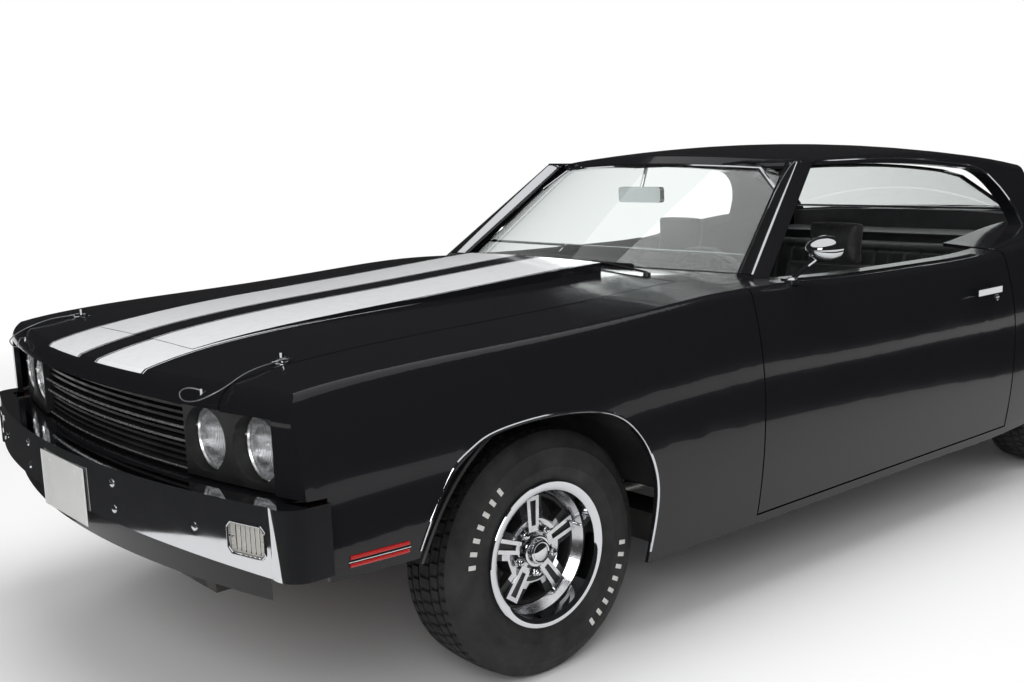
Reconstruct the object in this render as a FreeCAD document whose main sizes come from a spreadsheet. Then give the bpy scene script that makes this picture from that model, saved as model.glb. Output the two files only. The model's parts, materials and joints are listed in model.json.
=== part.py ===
"""Two-door hardtop muscle coupe, modelled as an assembly of separate parts.

Frame: +Z up, -Y is the front of the car, +X is its left side, and the origin is on the ground under its middle.
All sizes are in millimetres. The body skin is one loft, and each panel is the stretch of it between two shut lines,
made as thick as the real panel by cutting away a shifted copy of the same skin.
"""
import FreeCAD, Part
import math
import os

import Sketcher
from FreeCAD import Placement, Rotation, Vector

doc = FreeCAD.newDocument("MuscleCoupe")

# ---------------------------------------------------------------- driving dimensions
SIZES = [  # alias, value, what it is
    ("wheelbase", 2845, "front axle to rear axle"),
    ("overhang_front", 925, "front axle to the bumper's face"),
    ("overhang_rear", 1239, "rear axle to the rear bumper's face"),
    ("body_width", 1915, "over the widest place of the body"),
    ("roof_height", 1344, "ground to the roof's highest place"),
    ("track", 1524, "between the middles of two tyres on one axle"),
    ("tyre_radius", 330, "outside"),
    ("tyre_width", 214, "over the sidewalls"),
    ("rim_radius", 178, "at the bead seats"),
    ("rim_width", 178, "between the bead seats"),
    ("bore_radius", 36, "the wheel's centre hole"),
    ("skin", 14, "a wing's wall with its inner flange"),
    ("door_thick", 112, "outer skin to trim"),
    ("lid_thick", 28, "bonnet and boot lid with their inner panels"),
    ("roof_thick", 34, "roof skin to headlining"),
    ("shut_gap", 6, "between a panel that moves and its neighbour"),
    ("seam", 0.3, "between two panels that are fixed together"),
    ("glass_thick", 6, "windscreen and rear window"),
    ("door_start", 790, "front axle to the door's front edge"),
    ("door_length", 1470, "door's front edge to its rear edge"),
    ("hinge_reach", 120, "door hinge pin to the door's front edge"),
    ("sill_height", 268, "ground to the underside of the door"),
    ("bonnet_half", 664, "middle of the car to the bonnet's side edge"),
    ("bonnet_rise", 30, "height of the bonnet's raised middle at its rear"),
    ("boot_half", 636, "middle of the car to the boot lid's side edge"),
    ("lamp_radius", 72, "headlamp glass"),
    ("lamp_inner", 556, "middle of the car to an inner headlamp"),
    ("lamp_outer", 738, "middle of the car to an outer headlamp"),
    ("lamp_height", 738, "ground to the middle of a headlamp"),
    ("bumper_low", 486, "ground to the bumpers' lower edge at their ends"),
    ("bumper_arch", 26, "rise of the front bumper's lower edge in its middle"),
    ("bumper_tall", 162, "height of the bumpers"),
    ("bumper_deep", 46, "depth of a bumper's section"),
    ("rail_wide", 70, "width of a frame rail"),
    ("rail_tall", 100, "height of a frame rail"),
    ("kingpin", 700, "middle of the car to the steering axis of a wheel"),
    ("floor_height", 300, "ground to the top of the cabin floor"),
    ("sheet_thick", 8, "floor, bulkheads and inner panels with their flanges"),
    ("wheel_ring", 192, "steering wheel, middle of the grip"),
    ("pin_radius", 6, "bonnet pins"),
    ("cable_size", 3.2, "bonnet pin lanyard"),
]
sheet = doc.addObject("Spreadsheet::Sheet", "Sizes")
for row, (alias, value, note) in enumerate(SIZES, start=1):
    sheet.set(f"A{row}", alias)
    sheet.set(f"B{row}", str(value))
    sheet.set(f"C{row}", note)
    sheet.setAlias(f"B{row}", alias)
doc.recompute()


class Length(float):
    """A number that remembers the formula it was worked out by, so that a property can be bound to the sheet."""

    def __new__(cls, value, formula):
        number = super().__new__(cls, value)
        number.formula = formula
        return number

    def __add__(self, other):
        return worked_out(float.__add__(self, other), self, "+", other)

    def __radd__(self, other):
        return worked_out(float.__radd__(self, other), other, "+", self)

    def __sub__(self, other):
        return worked_out(float.__sub__(self, other), self, "-", other)

    def __rsub__(self, other):
        return worked_out(float.__rsub__(self, other), other, "-", self)

    def __mul__(self, other):
        return worked_out(float.__mul__(self, other), self, "*", other)

    def __rmul__(self, other):
        return worked_out(float.__rmul__(self, other), other, "*", self)

    def __truediv__(self, other):
        return worked_out(float.__truediv__(self, other), self, "/", other)

    def __neg__(self):
        return worked_out(float.__neg__(self), 0, "-", self)


def formula_of(value):
    """The expression that gives a number."""
    return value.formula if isinstance(value, Length) else repr(round(float(value), 6))


def worked_out(value, left, sign, right):
    """The result of a sum together with its formula."""
    if value is NotImplemented:
        return value
    return Length(value, f"({formula_of(left)} {sign} {formula_of(right)})")


def size(alias):
    """A driving dimension from the sheet."""
    return Length(getattr(sheet, alias), f"{sheet.Name}.{alias}")


def bind(thing, path, value):
    """Ties a property to the formula of a value."""
    thing.setExpression(path, formula_of(value))


# ---------------------------------------------------------------- stations worked out from the sheet
HALF = size("body_width") / 2
LENGTH = size("overhang_front") + size("wheelbase") + size("overhang_rear")
NOSE = -LENGTH / 2
TAIL = LENGTH / 2
FRONT_AXLE = NOSE + size("overhang_front")
REAR_AXLE = TAIL - size("overhang_rear")
DOOR_FRONT = FRONT_AXLE + size("door_start")
DOOR_REAR = DOOR_FRONT + size("door_length")
SHUT = size("shut_gap")
SKIN = size("skin")
SEAM = size("seam")
SHEET = size("sheet_thick")
FLOOR = size("floor_height")
AXLE_Z = size("tyre_radius")
FAR = 3000.0
LEFT, RIGHT = 1, -1
SIDES = (("left", LEFT), ("right", RIGHT))
X_AXIS, Y_AXIS, Z_AXIS = Vector(1, 0, 0), Vector(0, 1, 0), Vector(0, 0, 1)
nodes = []


# ---------------------------------------------------------------- features of the document
PLANE_ROLE = {"xy": "XY_Plane", "xz": "XZ_Plane", "yz": "YZ_Plane"}


def keep(label, shape):
    """Adds a finished shape to the document as a sub-part."""
    part = shape_object(label, shape)
    nodes.append(part)
    return part


def shape_object(label, shape):
    """A document object that holds a shape made by Part's own functions."""
    part = doc.addObject("Part::Feature", label)
    part.Label = label
    part.Shape = shape
    part.Placement = shape.Placement
    return part


def new_body(label):
    """An empty body."""
    body = doc.addObject("PartDesign::Body", label)
    body.Label = label
    body.AllowCompound = True
    return body


def origin_item(body, role):
    """One of a body's own planes or axes."""
    return next(item for item in body.Origin.OriginFeatures if item.Role == role)


def new_sketch(body, plane, at, drawing):
    """A sketch on a plane of the body, moved square to it to where that coordinate is at."""
    sketch = body.newObject("Sketcher::SketchObject", f"{body.Name}_sketch")
    sketch.AttachmentSupport = [(origin_item(body, PLANE_ROLE[plane]), "")]
    sketch.MapMode = "FlatFace"
    bind(sketch, "AttachmentOffset.Base.z", -at if plane == "xz" else at)
    if isinstance(drawing, tuple):
        draw_circle(sketch, *drawing)
    else:
        draw_outline(sketch, drawing)
    return sketch


def dimension(sketch, spots):
    """Dimensions points from the sketch's origin. A spot is (geometry, end, a, b)."""
    first = sketch.ConstraintCount
    values, constraints = [], []
    for geometry, end, a, b in spots:
        for kind, value in (("DistanceX", a), ("DistanceY", b)):
            constraints.append(Sketcher.Constraint(kind, -1, 1, geometry, end, float(value)))
            values.append(value)
    sketch.addConstraint(constraints)
    for number, value in enumerate(values, start=first):
        if isinstance(value, Length):
            bind(sketch, f"Constraints[{number}]", value)


def draw_circle(sketch, a, b, radius):
    """A circle, with its middle and its radius dimensioned."""
    ring = sketch.addGeometry(Part.Circle(Vector(a, b, 0), Z_AXIS, radius))
    dimension(sketch, [(ring, 3, a, b)])
    number = sketch.addConstraint(Sketcher.Constraint("Radius", ring, float(radius)))
    bind(sketch, f"Constraints[{number}]", radius)


def draw_outline(sketch, corners):
    """A closed outline of lines and arcs. A corner is (a, b), or an arc's end and middle, (a, b, mid_a, mid_b)."""
    spots, joins, ends = [], [], []
    for here, there in zip(corners, corners[1:] + corners[:1]):
        start, end = Vector(here[0], here[1], 0), Vector(there[0], there[1], 0)
        if len(there) == 4:
            middle = Vector(there[2], there[3], 0)
            forward = (middle - start).cross(end - middle).z > 0
            side = sketch.addGeometry(Part.Arc(start, middle, end) if forward else Part.Arc(end, middle, start))
            on_arc = sketch.addGeometry(Part.Point(middle), True)
            spots.append((on_arc, 1, there[2], there[3]))
            joins.append(Sketcher.Constraint("PointOnObject", on_arc, 1, side))
        else:
            side = sketch.addGeometry(Part.LineSegment(start, end))
            forward = True
        ends.append((side, 1 if forward else 2, 2 if forward else 1))
        spots.append((side, ends[-1][1], here[0], here[1]))
    for (side, _, last), (following, first, _) in zip(ends, ends[1:] + ends[:1]):
        joins.append(Sketcher.Constraint("Coincident", side, last, following, first))
    sketch.addConstraint(joins)
    dimension(sketch, spots)


def add_feature(body, kind, sketch):
    """A sketch-based feature of a body."""
    feature = body.newObject(f"PartDesign::{kind}", f"{body.Name}_{kind.lower()}")
    feature.Profile = sketch
    return feature


def pad(body, plane, drawing, low, high):
    """Material between low and high, square to a plane."""
    feature = add_feature(body, "Pad", new_sketch(body, plane, high if plane == "xz" else low, drawing))
    bind(feature, "Length", high - low)
    return feature


def pocket(body, plane, drawing, low, high):
    """A cut between low and high, square to a plane."""
    feature = add_feature(body, "Pocket", new_sketch(body, plane, high if plane == "xz" else low, drawing))
    bind(feature, "Length", high - low)
    feature.Reversed = True
    return feature


def revolution(body, plane, drawing, axis):
    """An outline turned about the sketch's H_Axis or V_Axis."""
    sketch = new_sketch(body, plane, 0, drawing)
    feature = add_feature(body, "Revolution", sketch)
    feature.ReferenceAxis = (sketch, [axis])
    feature.Angle = 360
    return feature


def polar_pattern(body, features, axis, count, angle=360):
    """Features repeated about one of the body's axes."""
    pattern = body.newObject("PartDesign::PolarPattern", f"{body.Name}_polar")
    pattern.Originals = features
    pattern.Axis = (origin_item(body, axis), [""])
    pattern.Angle = angle
    pattern.Occurrences = count
    body.Tip = pattern
    return pattern


def mirrored_features(body, features, role):
    """Features repeated on the other side of one of the body's planes."""
    mirror = body.newObject("PartDesign::Mirrored", f"{body.Name}_mirrored")
    mirror.Originals = features
    mirror.MirrorPlane = (origin_item(body, role), [""])
    body.Tip = mirror
    return mirror


def fillet(body, radius, wanted):
    """Rounds the edges of the body's last feature that wanted() picks."""
    doc.recompute()
    last = body.Tip
    names = [f"Edge{number}" for number, edge in enumerate(last.Shape.Edges, start=1) if wanted(edge)]
    feature = body.newObject("PartDesign::Fillet", f"{body.Name}_fillet")
    feature.Base = (last, names)
    bind(feature, "Radius", radius)
    return feature


def place(thing, x, y, z, rotation=Rotation()):
    """Puts an object where three formulas say."""
    thing.Placement = Placement(Vector(x, y, z), rotation)
    for letter, value in (("x", x), ("y", y), ("z", z)):
        bind(thing, f"Placement.Base.{letter}", value)


def sub_part(thing):
    """Names an object as one of the sub-parts."""
    nodes.append(thing)
    return thing


def mirror_object(label, source):
    """The twin of an object on the other side of the car."""
    twin = doc.addObject("Part::Mirroring", label)
    twin.Label = label
    twin.Source = source
    twin.Normal = X_AXIS
    return twin


def compound(label, things):
    """Several like pieces as one sub-part."""
    whole = doc.addObject("Part::Compound", label)
    whole.Label = label
    whole.Links = things
    return sub_part(whole)


def beam(body, x0, x1, y0, y1, z0, z1):
    """A square-cornered bar of a body."""
    return pad(body, "xy", rectangle(x0, x1, y0, y1), z0, z1)


def less(label, base, tool):
    """One object cut away from another."""
    rest = doc.addObject("Part::Cut", label)
    rest.Label = label
    rest.Base = base
    rest.Tool = tool
    return rest


def rectangle(a0, a1, b0, b1):
    """The corners of a rectangle."""
    return [(a0, b0), (a1, b0), (a1, b1), (a0, b1)]


def rounded_rectangle(a0, a1, b0, b1, radius):
    """The corners of a rectangle with four arcs."""
    near = radius * (1 - math.sqrt(0.5))
    return [
        (a0 + radius, b0, a0 + near, b0 + near),
        (a1 - radius, b0),
        (a1, b0 + radius, a1 - near, b0 + near),
        (a1, b1 - radius),
        (a1 - radius, b1, a1 - near, b1 - near),
        (a0 + radius, b1),
        (a0, b1 - radius, a0 + near, b1 - near),
        (a0, b0 + radius),
    ]


# ---------------------------------------------------------------- shapes by Part's own functions

def block(x0, x1, y0, y1, z0, z1):
    """A box between two corners."""
    return Part.makeBox(x1 - x0, y1 - y0, z1 - z0, Vector(x0, y0, z0))


def both(x0, x1, y0, y1, z0, z1):
    """A box on the left side and its twin on the right."""
    return [block(x0, x1, y0, y1, z0, z1), block(-x1, -x0, y0, y1, z0, z1)]


def rod(radius, start, end):
    """A round bar between two points."""
    start, end = Vector(*start), Vector(*end)
    return Part.makeCylinder(radius, (end - start).Length, start, end - start)


def moved(shape, x=0, y=0, z=0):
    """A shifted copy."""
    twin = shape.copy()
    twin.translate(Vector(x, y, z))
    return twin


def turned(shape, centre, axis, degrees):
    """A copy turned about an axis through a point."""
    twin = shape.copy()
    twin.rotate(Vector(*centre), axis, degrees)
    return twin


def mirrored(shape):
    """The twin on the other side of the car."""
    return shape.mirror(Vector(0, 0, 0), X_AXIS)


def on_side(shape, side):
    """A left-hand shape, or its right-hand twin."""
    return shape if side == LEFT else mirrored(shape)


def outline(points, plane, at):
    """A closed face from corners, each (a, b) or an arc's end with its middle, (a, b, mid_a, mid_b).

    plane "xy", "yz" or "xz" says which two coordinates a and b are, and at is the third."""
    place = {
        "xy": lambda a, b: Vector(a, b, at),
        "yz": lambda a, b: Vector(at, a, b),
        "xz": lambda a, b: Vector(a, at, b),
    }[plane]
    edges = []
    for here, there in zip(points, points[1:] + points[:1]):
        start, end = place(*here[:2]), place(*there[:2])
        if len(there) == 4:
            edges.append(Part.Arc(start, place(*there[2:]), end).toShape())
        elif (end - start).Length > 1e-6:
            edges.append(Part.makeLine(start, end))
    return Part.Face(Part.Wire(edges))


def prism(points, plane, low, high):
    """An outline swept from low to high along the axis that its plane leaves out."""
    along = {"xy": Z_AXIS, "yz": X_AXIS, "xz": Y_AXIS}[plane]
    return outline(points, plane, low).extrude(along * (high - low))


def revolve_about_x(points, last=None):
    """A closed profile (x, radius) turned about the X axis."""
    edges = []
    place = lambda a, b: Vector(a, 0, b)
    pairs = list(zip(points, points[1:]))
    pairs.append((points[-1], last if last else points[0]))
    for here, there in pairs:
        start, end = place(*here[:2]), place(*there[:2])
        if len(there) == 4:
            edges.append(Part.Arc(start, place(*there[2:]), end).toShape())
        else:
            edges.append(Part.makeLine(start, end))
    return Part.Face(Part.Wire(edges)).revolve(Vector(), X_AXIS, 360)


def cut(shape, *tools):
    """A shape less one or more tools."""
    return shape.cut(list(tools))


def fused(shapes):
    """Shapes joined into one solid, with faces that continue each other merged."""
    return shapes[0].fuse(shapes[1:]).removeSplitter()


def rounded(shape, radius, wanted):
    """A copy with the edges that wanted() picks rounded."""
    return shape.makeFillet(radius, [edge for edge in shape.Edges if wanted(edge)])


def along(edge, axis):
    """Whether an edge is straight and runs along an axis."""
    if edge.Curve.TypeId != "Part::GeomLine":
        return False
    return abs(edge.Curve.Direction.dot(axis)) > 0.999


# ---------------------------------------------------------------- the body's skin
def fillet_between(centre_a, radius_a, centre_b, radius_b, radius):
    """Where a small arc touches two big ones from the inside: its ends and its middle, in a section's plane."""
    reach_a, reach_b = radius_a - radius, radius_b - radius
    (ax, az), (bx, bz) = centre_a, centre_b
    apart = math.hypot(bx - ax, bz - az)
    share = (reach_a**2 - reach_b**2 + apart**2) / (2 * apart)
    rise = math.sqrt(reach_a**2 - share**2)
    ux, uz = (bx - ax) / apart, (bz - az) / apart
    px, pz = ax + ux * share, az + uz * share
    options = [(px + uz * rise, pz - ux * rise), (px - uz * rise, pz + ux * rise)]
    cx, cz = max(options)
    start = (ax + (cx - ax) * radius_a / reach_a, az + (cz - az) * radius_a / reach_a)
    end = (bx + (cx - bx) * radius_b / reach_b, bz + (cz - bz) * radius_b / reach_b)
    mx, mz = (start[0] + end[0]) / 2 - cx, (start[1] + end[1]) / 2 - cz
    stretch = radius / math.hypot(mx, mz)
    return start, (cx + mx * stretch, cz + mz * stretch), end


def skin_section(y, low, low_half, side_half, side_z, edge_half, edge_z, edge_radius, crown):
    """One section across the body: flat below, a bulged side of two arcs, a shoulder radius and a crowned top."""

    def side_arc(half, z):
        reach = ((side_half - half) ** 2 + (side_z - z) ** 2) / (2 * (side_half - half))
        return (side_half - reach, side_z), reach

    side_centre, side_radius = side_arc(edge_half, edge_z)
    sag = crown - edge_z
    top_radius = (edge_half**2 + sag**2) / (2 * sag)
    start, middle, end = fillet_between(
        side_centre, side_radius, (0, crown - top_radius), top_radius, edge_radius
    )
    low_centre, low_radius = side_arc(low_half, low)

    def on_arc(centre, radius, a, b):
        mx, mz = (a[0] + b[0]) / 2 - centre[0], (a[1] + b[1]) / 2 - centre[1]
        stretch = radius / math.hypot(mx, mz)
        return centre[0] + mx * stretch, centre[1] + mz * stretch

    widest = (side_half, side_z)
    right_way = [
        ((low_half, low), on_arc(low_centre, low_radius, (low_half, low), widest), widest),
        (widest, on_arc(side_centre, side_radius, widest, start), start),
        (start, middle, end),
    ]
    point = lambda p, side=1: Vector(side * p[0], y, p[1])
    edges = [Part.Arc(point(a), point(m), point(b)).toShape() for a, m, b in right_way]
    edges.append(Part.Arc(point(end), Vector(0, y, crown), point(end, -1)).toShape())
    for a, m, b in reversed(right_way):
        edges.append(Part.Arc(point(b, -1), point(m, -1), point(a, -1)).toShape())
    edges.append(Part.makeLine(point((low_half, low), -1), point((low_half, low))))
    return Part.Wire(edges)


SKIN_SECTIONS = [
    # place, forward or back of it, underside z and inset, widest inset and z, shoulder inset, z and radius, crown z
    ("nose", 56, 380, 110, 50, 560, 92, 840, 34, 862),
    ("nose", 190, 350, 96, 24, 568, 76, 874, 34, 898),
    ("nose", 400, 300, 80, 6, 580, 66, 896, 34, 926),
    ("front axle", 0, 235, 60, 0, 590, 58, 912, 34, 950),
    ("front axle", 420, 235, 52, 6, 600, 60, 930, 34, 964),
    ("door front", 0, 235, 50, 12, 600, 66, 944, 34, 974),
    ("door front", 420, 235, 50, 17, 600, 74, 926, 34, 962),
    ("door front", 1000, 235, 50, 19, 600, 76, 914, 34, 956),
    ("door rear", 20, 235, 52, 14, 604, 70, 926, 36, 968),
    ("door rear", 300, 250, 56, 4, 612, 52, 966, 40, 996),
    ("rear axle", 0, 270, 60, 0, 620, 44, 986, 44, 1012),
    ("rear axle", 420, 300, 66, 6, 626, 48, 984, 44, 1012),
    ("tail", -320, 340, 84, 26, 632, 64, 962, 42, 990),
    ("tail", -60, 400, 106, 54, 640, 92, 922, 40, 944),
]
PLACES = {
    "nose": NOSE,
    "front axle": FRONT_AXLE,
    "door front": DOOR_FRONT,
    "door rear": DOOR_REAR,
    "rear axle": REAR_AXLE,
    "tail": TAIL,
}


def body_skin():
    """The whole lower body as one smooth solid, from the headlamps to the tail panel."""
    wires = []
    for place, offset, low, low_in, side_in, side_z, edge_in, edge_z, edge_r, crown in SKIN_SECTIONS:
        y = PLACES[place] + offset
        wires.append(
            skin_section(y, low, HALF - low_in, HALF - side_in, side_z, HALF - edge_in, edge_z, edge_r, crown)
        )
    return Part.makeLoft(wires, True, False)


skin = body_skin()


def face_sweep(radius, profile, ahead):
    """A profile turned about an upright axis: what lies inside it is behind the nose, or ahead of the tail.

    The profile's corners are (in from the face, up), with an arc's middle as two more numbers."""
    sign = -1 if ahead else 1
    centre = (NOSE + 66 + radius) if ahead else (TAIL - 60 - radius)
    points = []
    for corner in profile:
        place = [centre + sign * (radius - corner[0]), corner[1]]
        if len(corner) == 4:
            place += [centre + sign * (radius - corner[2]), corner[3]]
        points.append(tuple(place))
    points += [(centre, points[-1][1]), (centre, points[0][1])]
    face = outline(points, "yz", 0)
    return face.revolve(Vector(0, centre, 0), Z_AXIS, 360)


NOSE_RADIUS = 3600.0
TAIL_RADIUS = 6000.0
NOSE_PROFILE = [(0, 150), (0, 806), (92, 892, 24, 868), (92, 1150)]
TAIL_PROFILE = [(0, 150), (0, 900), (46, 946, 12, 934), (46, 1150)]


def nose_inside(inset):
    """The space more than inset behind the nose's curved face, as an upright cylinder."""
    centre = NOSE + 66 + NOSE_RADIUS
    return Part.makeCylinder(NOSE_RADIUS - inset, FAR, Vector(0, centre, 0))


skin = skin.common(face_sweep(NOSE_RADIUS, NOSE_PROFILE, True))
skin = skin.common(face_sweep(TAIL_RADIUS, TAIL_PROFILE, False))


def panel(region, x=0, y=0, z=0):
    """The skin inside a region, as thick as a shift of the skin inwards makes it."""
    return skin.common(region).cut(moved(skin, x, y, z))


# ---------------------------------------------------------------- the greenhouse: roof, pillars and windows
ROOF = size("roof_height")
ROOF_PEAK = DOOR_FRONT + 1080  # the roof's highest place along the car
ROOF_LONG = 6500.0  # radius of the roof from front to rear
ROOF_AHEAD, ROOF_BEHIND = 1380.0, 1610.0  # how far the roof's surface runs from its peak
ROOF_CROWN = 46.0  # rise of the roof from its rails to its middle
RAIL_HALF = 622.0  # middle of the car to where the sides and the roof would meet
SIDE_LEAN = 0.493  # how far the cabin's sides come in for each millimetre up
RAIL_RADIUS = 45.0
SCREEN_RAKE = 34.5  # degrees from level
SCREEN_RADIUS = 1700.0
SCREEN_FOOT = Vector(0, DOOR_FRONT + 40, 1000)
BACK_RADIUS = 3000.0
BACK_HEAD = Vector(0, DOOR_REAR + 300, ROOF - 86)
BACK_FOOT = Vector(0, DOOR_REAR + 866, ROOF - 340)


def corner_arc(before, corner, after, radius):
    """The ends and the middle of an arc that rounds a corner between two straight lines."""
    before, corner, after = (Vector(*p, 0) for p in (before, corner, after))
    a, b = (before - corner).normalize(), (after - corner).normalize()
    half = a.getAngle(b) / 2
    start, end = corner + a * (radius / math.tan(half)), corner + b * (radius / math.tan(half))
    middle = corner + (a + b).normalize() * (radius / math.sin(half) - radius)
    return (start.x, start.y), (middle.x, middle.y), (end.x, end.y)


def cabin(inset):
    """The cabin above the waist: a section across it turned about a far axis, so its roof curves both ways."""
    lean = math.hypot(1, SIDE_LEAN)
    rail_z = ROOF - ROOF_CROWN
    half = RAIL_HALF - inset * lean
    crown_slope = 2 * ROOF_CROWN / RAIL_HALF
    corner = (half, rail_z - inset)
    foot = (half + (rail_z - inset - 640) * SIDE_LEAN, 640)
    inward = (corner[0] - 100, corner[1] + 100 * crown_slope)
    start, middle, end = corner_arc(foot, corner, inward, RAIL_RADIUS)
    points = [
        foot,
        start,
        (*end, *middle),
        (-end[0], end[1], 0, ROOF - inset),
        (-start[0], start[1], -middle[0], middle[1]),
        (-foot[0], foot[1]),
    ]
    face = outline(points, "xz", ROOF_PEAK)
    centre = Vector(0, ROOF_PEAK, ROOF - ROOF_LONG)
    ahead, behind = (math.degrees(math.asin(reach / ROOF_LONG)) for reach in (ROOF_AHEAD, ROOF_BEHIND))
    face.rotate(centre, X_AXIS, ahead)
    return face.revolve(centre, X_AXIS, -ahead - behind)


def glass_frame(foot, head):
    """Directions up the glass and out of it."""
    up = (head - foot).normalize()
    out = X_AXIS.cross(up)
    if out.z < 0:
        out = out * -1
    return up, out


def glass_surface(foot, up, out, radius, inset):
    """A raked cylinder whose inside is behind a window's curved surface."""
    base = foot - out * radius - up * FAR
    return Part.makeCylinder(radius - inset, 2 * FAR, base, up)


rake = math.radians(SCREEN_RAKE)
SCREEN_HEAD = SCREEN_FOOT + Vector(0, math.cos(rake), math.sin(rake)) * 500
SCREEN_UP, SCREEN_OUT = glass_frame(SCREEN_FOOT, SCREEN_HEAD)
BACK_UP, BACK_OUT = glass_frame(BACK_FOOT, BACK_HEAD)


def window_prism(foot, up, out, corners, grow, radius):
    """A window's outline, square to its glass. Corners are (across, up the glass) with an arc's middle last."""
    low_half, low_side, low_mid, top_half, top_side, top_mid = corners
    place = lambda a, b: foot + X_AXIS * a + up * b - out * 330
    low, high, wide = -grow, grow, grow
    edges = [
        Part.Arc(
            place(-low_half - wide, low_side + low),
            place(0, low_mid + low),
            place(low_half + wide, low_side + low),
        ).toShape(),
        Part.makeLine(place(low_half + wide, low_side + low), place(top_half + wide, top_side + high)),
        Part.Arc(
            place(top_half + wide, top_side + high),
            place(0, top_mid + high),
            place(-top_half - wide, top_side + high),
        ).toShape(),
        Part.makeLine(place(-top_half - wide, top_side + high), place(-low_half - wide, low_side + low)),
    ]
    tool = Part.Face(Part.Wire(edges)).extrude(out * 560)
    return rounded(tool, radius, lambda edge: along(edge, out))


SCREEN_OUTLINE = (708, 104, -60, 560, 612, 520)
BACK_OUTLINE = (590, -6, -30, 528, 596, 586)


def side_opening():
    """The side window with its quarter window, through both sides."""
    points = [
        (DOOR_FRONT + 190, 860),
        (REAR_AXLE - 175, 860),
        (REAR_AXLE - 175, ROOF - 376),
        (REAR_AXLE - 380, ROOF - 124, REAR_AXLE - 220, ROOF - 222),
        (DOOR_FRONT + 640, ROOF - 70, DOOR_FRONT + 1140, ROOF - 82),
        (DOOR_FRONT + 500, ROOF - 66),
    ]
    return prism(points, "yz", -FAR, FAR)


def front_pillar():
    """The left windscreen pillar, between a section at its foot and one at the roof."""

    def section(z, corners):
        points = [Vector(x, DOOR_FRONT + y, z) for x, y in corners]
        return Part.makePolygon(points + points[:1])

    foot = section(900, [(706, 118), (800, 92), (815, 148), (722, 190)])
    head = section(ROOF - 50, [(556, 612), (626, 588), (640, 650), (572, 690)])
    return Part.makeLoft([foot, head], True, True)


def build_roof():
    """Roof skin, windscreen header, front pillars and sail panels, down to the waist."""
    shell = cabin(0).cut(cabin(size("roof_thick")))
    shell = shell.common(glass_surface(SCREEN_FOOT, SCREEN_UP, SCREEN_OUT, SCREEN_RADIUS, 0))
    tail_cut = prism(
        [
            (REAR_AXLE + 50, ROOF - 200),
            (REAR_AXLE + 366, ROOF - 394, REAR_AXLE + 222, ROOF - 282),
            (REAR_AXLE + 900, ROOF - 420),
            (REAR_AXLE + 900, ROOF),
            (REAR_AXLE + 50, ROOF),
        ],
        "yz",
        -FAR,
        FAR,
    )
    shell = shell.cut(tail_cut)
    shell = shell.cut(window_prism(SCREEN_FOOT, SCREEN_UP, SCREEN_OUT, SCREEN_OUTLINE, 0, 60))
    shell = shell.cut(window_prism(BACK_FOOT, BACK_UP, BACK_OUT, BACK_OUTLINE, 0, 60))
    shell = shell.cut(side_opening())
    shell = shell.cut(block(-FAR, FAR, -FAR, DOOR_FRONT + 300, 0, FAR))
    pillar = front_pillar()
    shell = shell.fuse([pillar, mirrored(pillar)])
    shell = shell.cut(moved(skin, 0, 0, SEAM))
    return max(shell.Solids, key=lambda solid: solid.Volume)


def window_glass(foot, up, out, radius, corners):
    """A curved pane set into its opening."""
    outer = glass_surface(foot, up, out, radius, 6)
    inner = glass_surface(foot, up, out, radius, 6 + size("glass_thick"))
    pane = window_prism(foot, up, out, corners, -SEAM, 60).common(outer).cut(inner)
    pane = pane.cut(moved(skin, 0, 0, SEAM))
    return max(pane.Solids, key=lambda solid: solid.Volume)


# ---------------------------------------------------------------- wings, doors, lids
LAMP_Z = size("lamp_height")
BONNET = size("bonnet_half")
BONNET_REAR = DOOR_FRONT - 80
BOOT = size("boot_half")
BOOT_FRONT = BACK_FOOT.y + 36
BOOT_REAR = TAIL - 150
SILL = size("sill_height")
DOOR_IN = HALF - 74 - size("door_thick")  # inner face of a door, from the middle
PILLAR_IN = HALF - 148  # what lies beside the front pillar's foot
PILLAR_REAR = DOOR_FRONT + 262


def front_arch():
    """The front wheel opening, through both wings."""
    y, z = FRONT_AXLE, AXLE_Z
    points = [
        (y - 520, -50),
        (y - 478, z + 80),
        (y - 366, z + 310, y - 436, z + 200),
        (y - 228, z + 379, y - 306, z + 352),
        (y + 72, z + 377, y - 80, z + 389),
        (y + 252, z + 280, y + 178, z + 344),
        (y + 324, z + 100, y + 302, z + 196),
        (y + 318, -50),
    ]
    return prism(points, "yz", -FAR, FAR)


def rear_arch():
    """The rear wheel opening, through both quarter panels."""
    y, z = REAR_AXLE, AXLE_Z
    points = [
        (y - 392, -50),
        (y - 386, z + 90),
        (y - 262, z + 296, y - 344, z + 216),
        (y + 230, z + 312, y - 20, z + 358),
        (y + 392, z + 80, y + 344, z + 214),
        (y + 408, -50),
    ]
    return prism(points, "yz", -FAR, FAR)


def build_fender():
    """The left front wing: its side, its crown and the surround of the lamps."""
    region = block(BONNET + SHUT, FAR, -FAR, DOOR_FRONT - SHUT, 0, FAR)
    wing = panel(region, -SKIN, SKIN, -SKIN)
    under_bumper = block(0, FAR, -FAR, FRONT_AXLE - 690, 0, size("bumper_low") + size("bumper_tall") + SHUT)
    under_lamp = block(0, FAR, -FAR, FRONT_AXLE - 400, 0, size("bumper_low") - 24)
    lamp_hole = block(0, HALF - 119, -FAR, FRONT_AXLE - 720, LAMP_Z - 94, LAMP_Z + 84)
    wing = cut(wing, under_bumper, under_lamp, lamp_hole, front_arch())
    return max(wing.Solids, key=lambda solid: solid.Volume)


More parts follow.
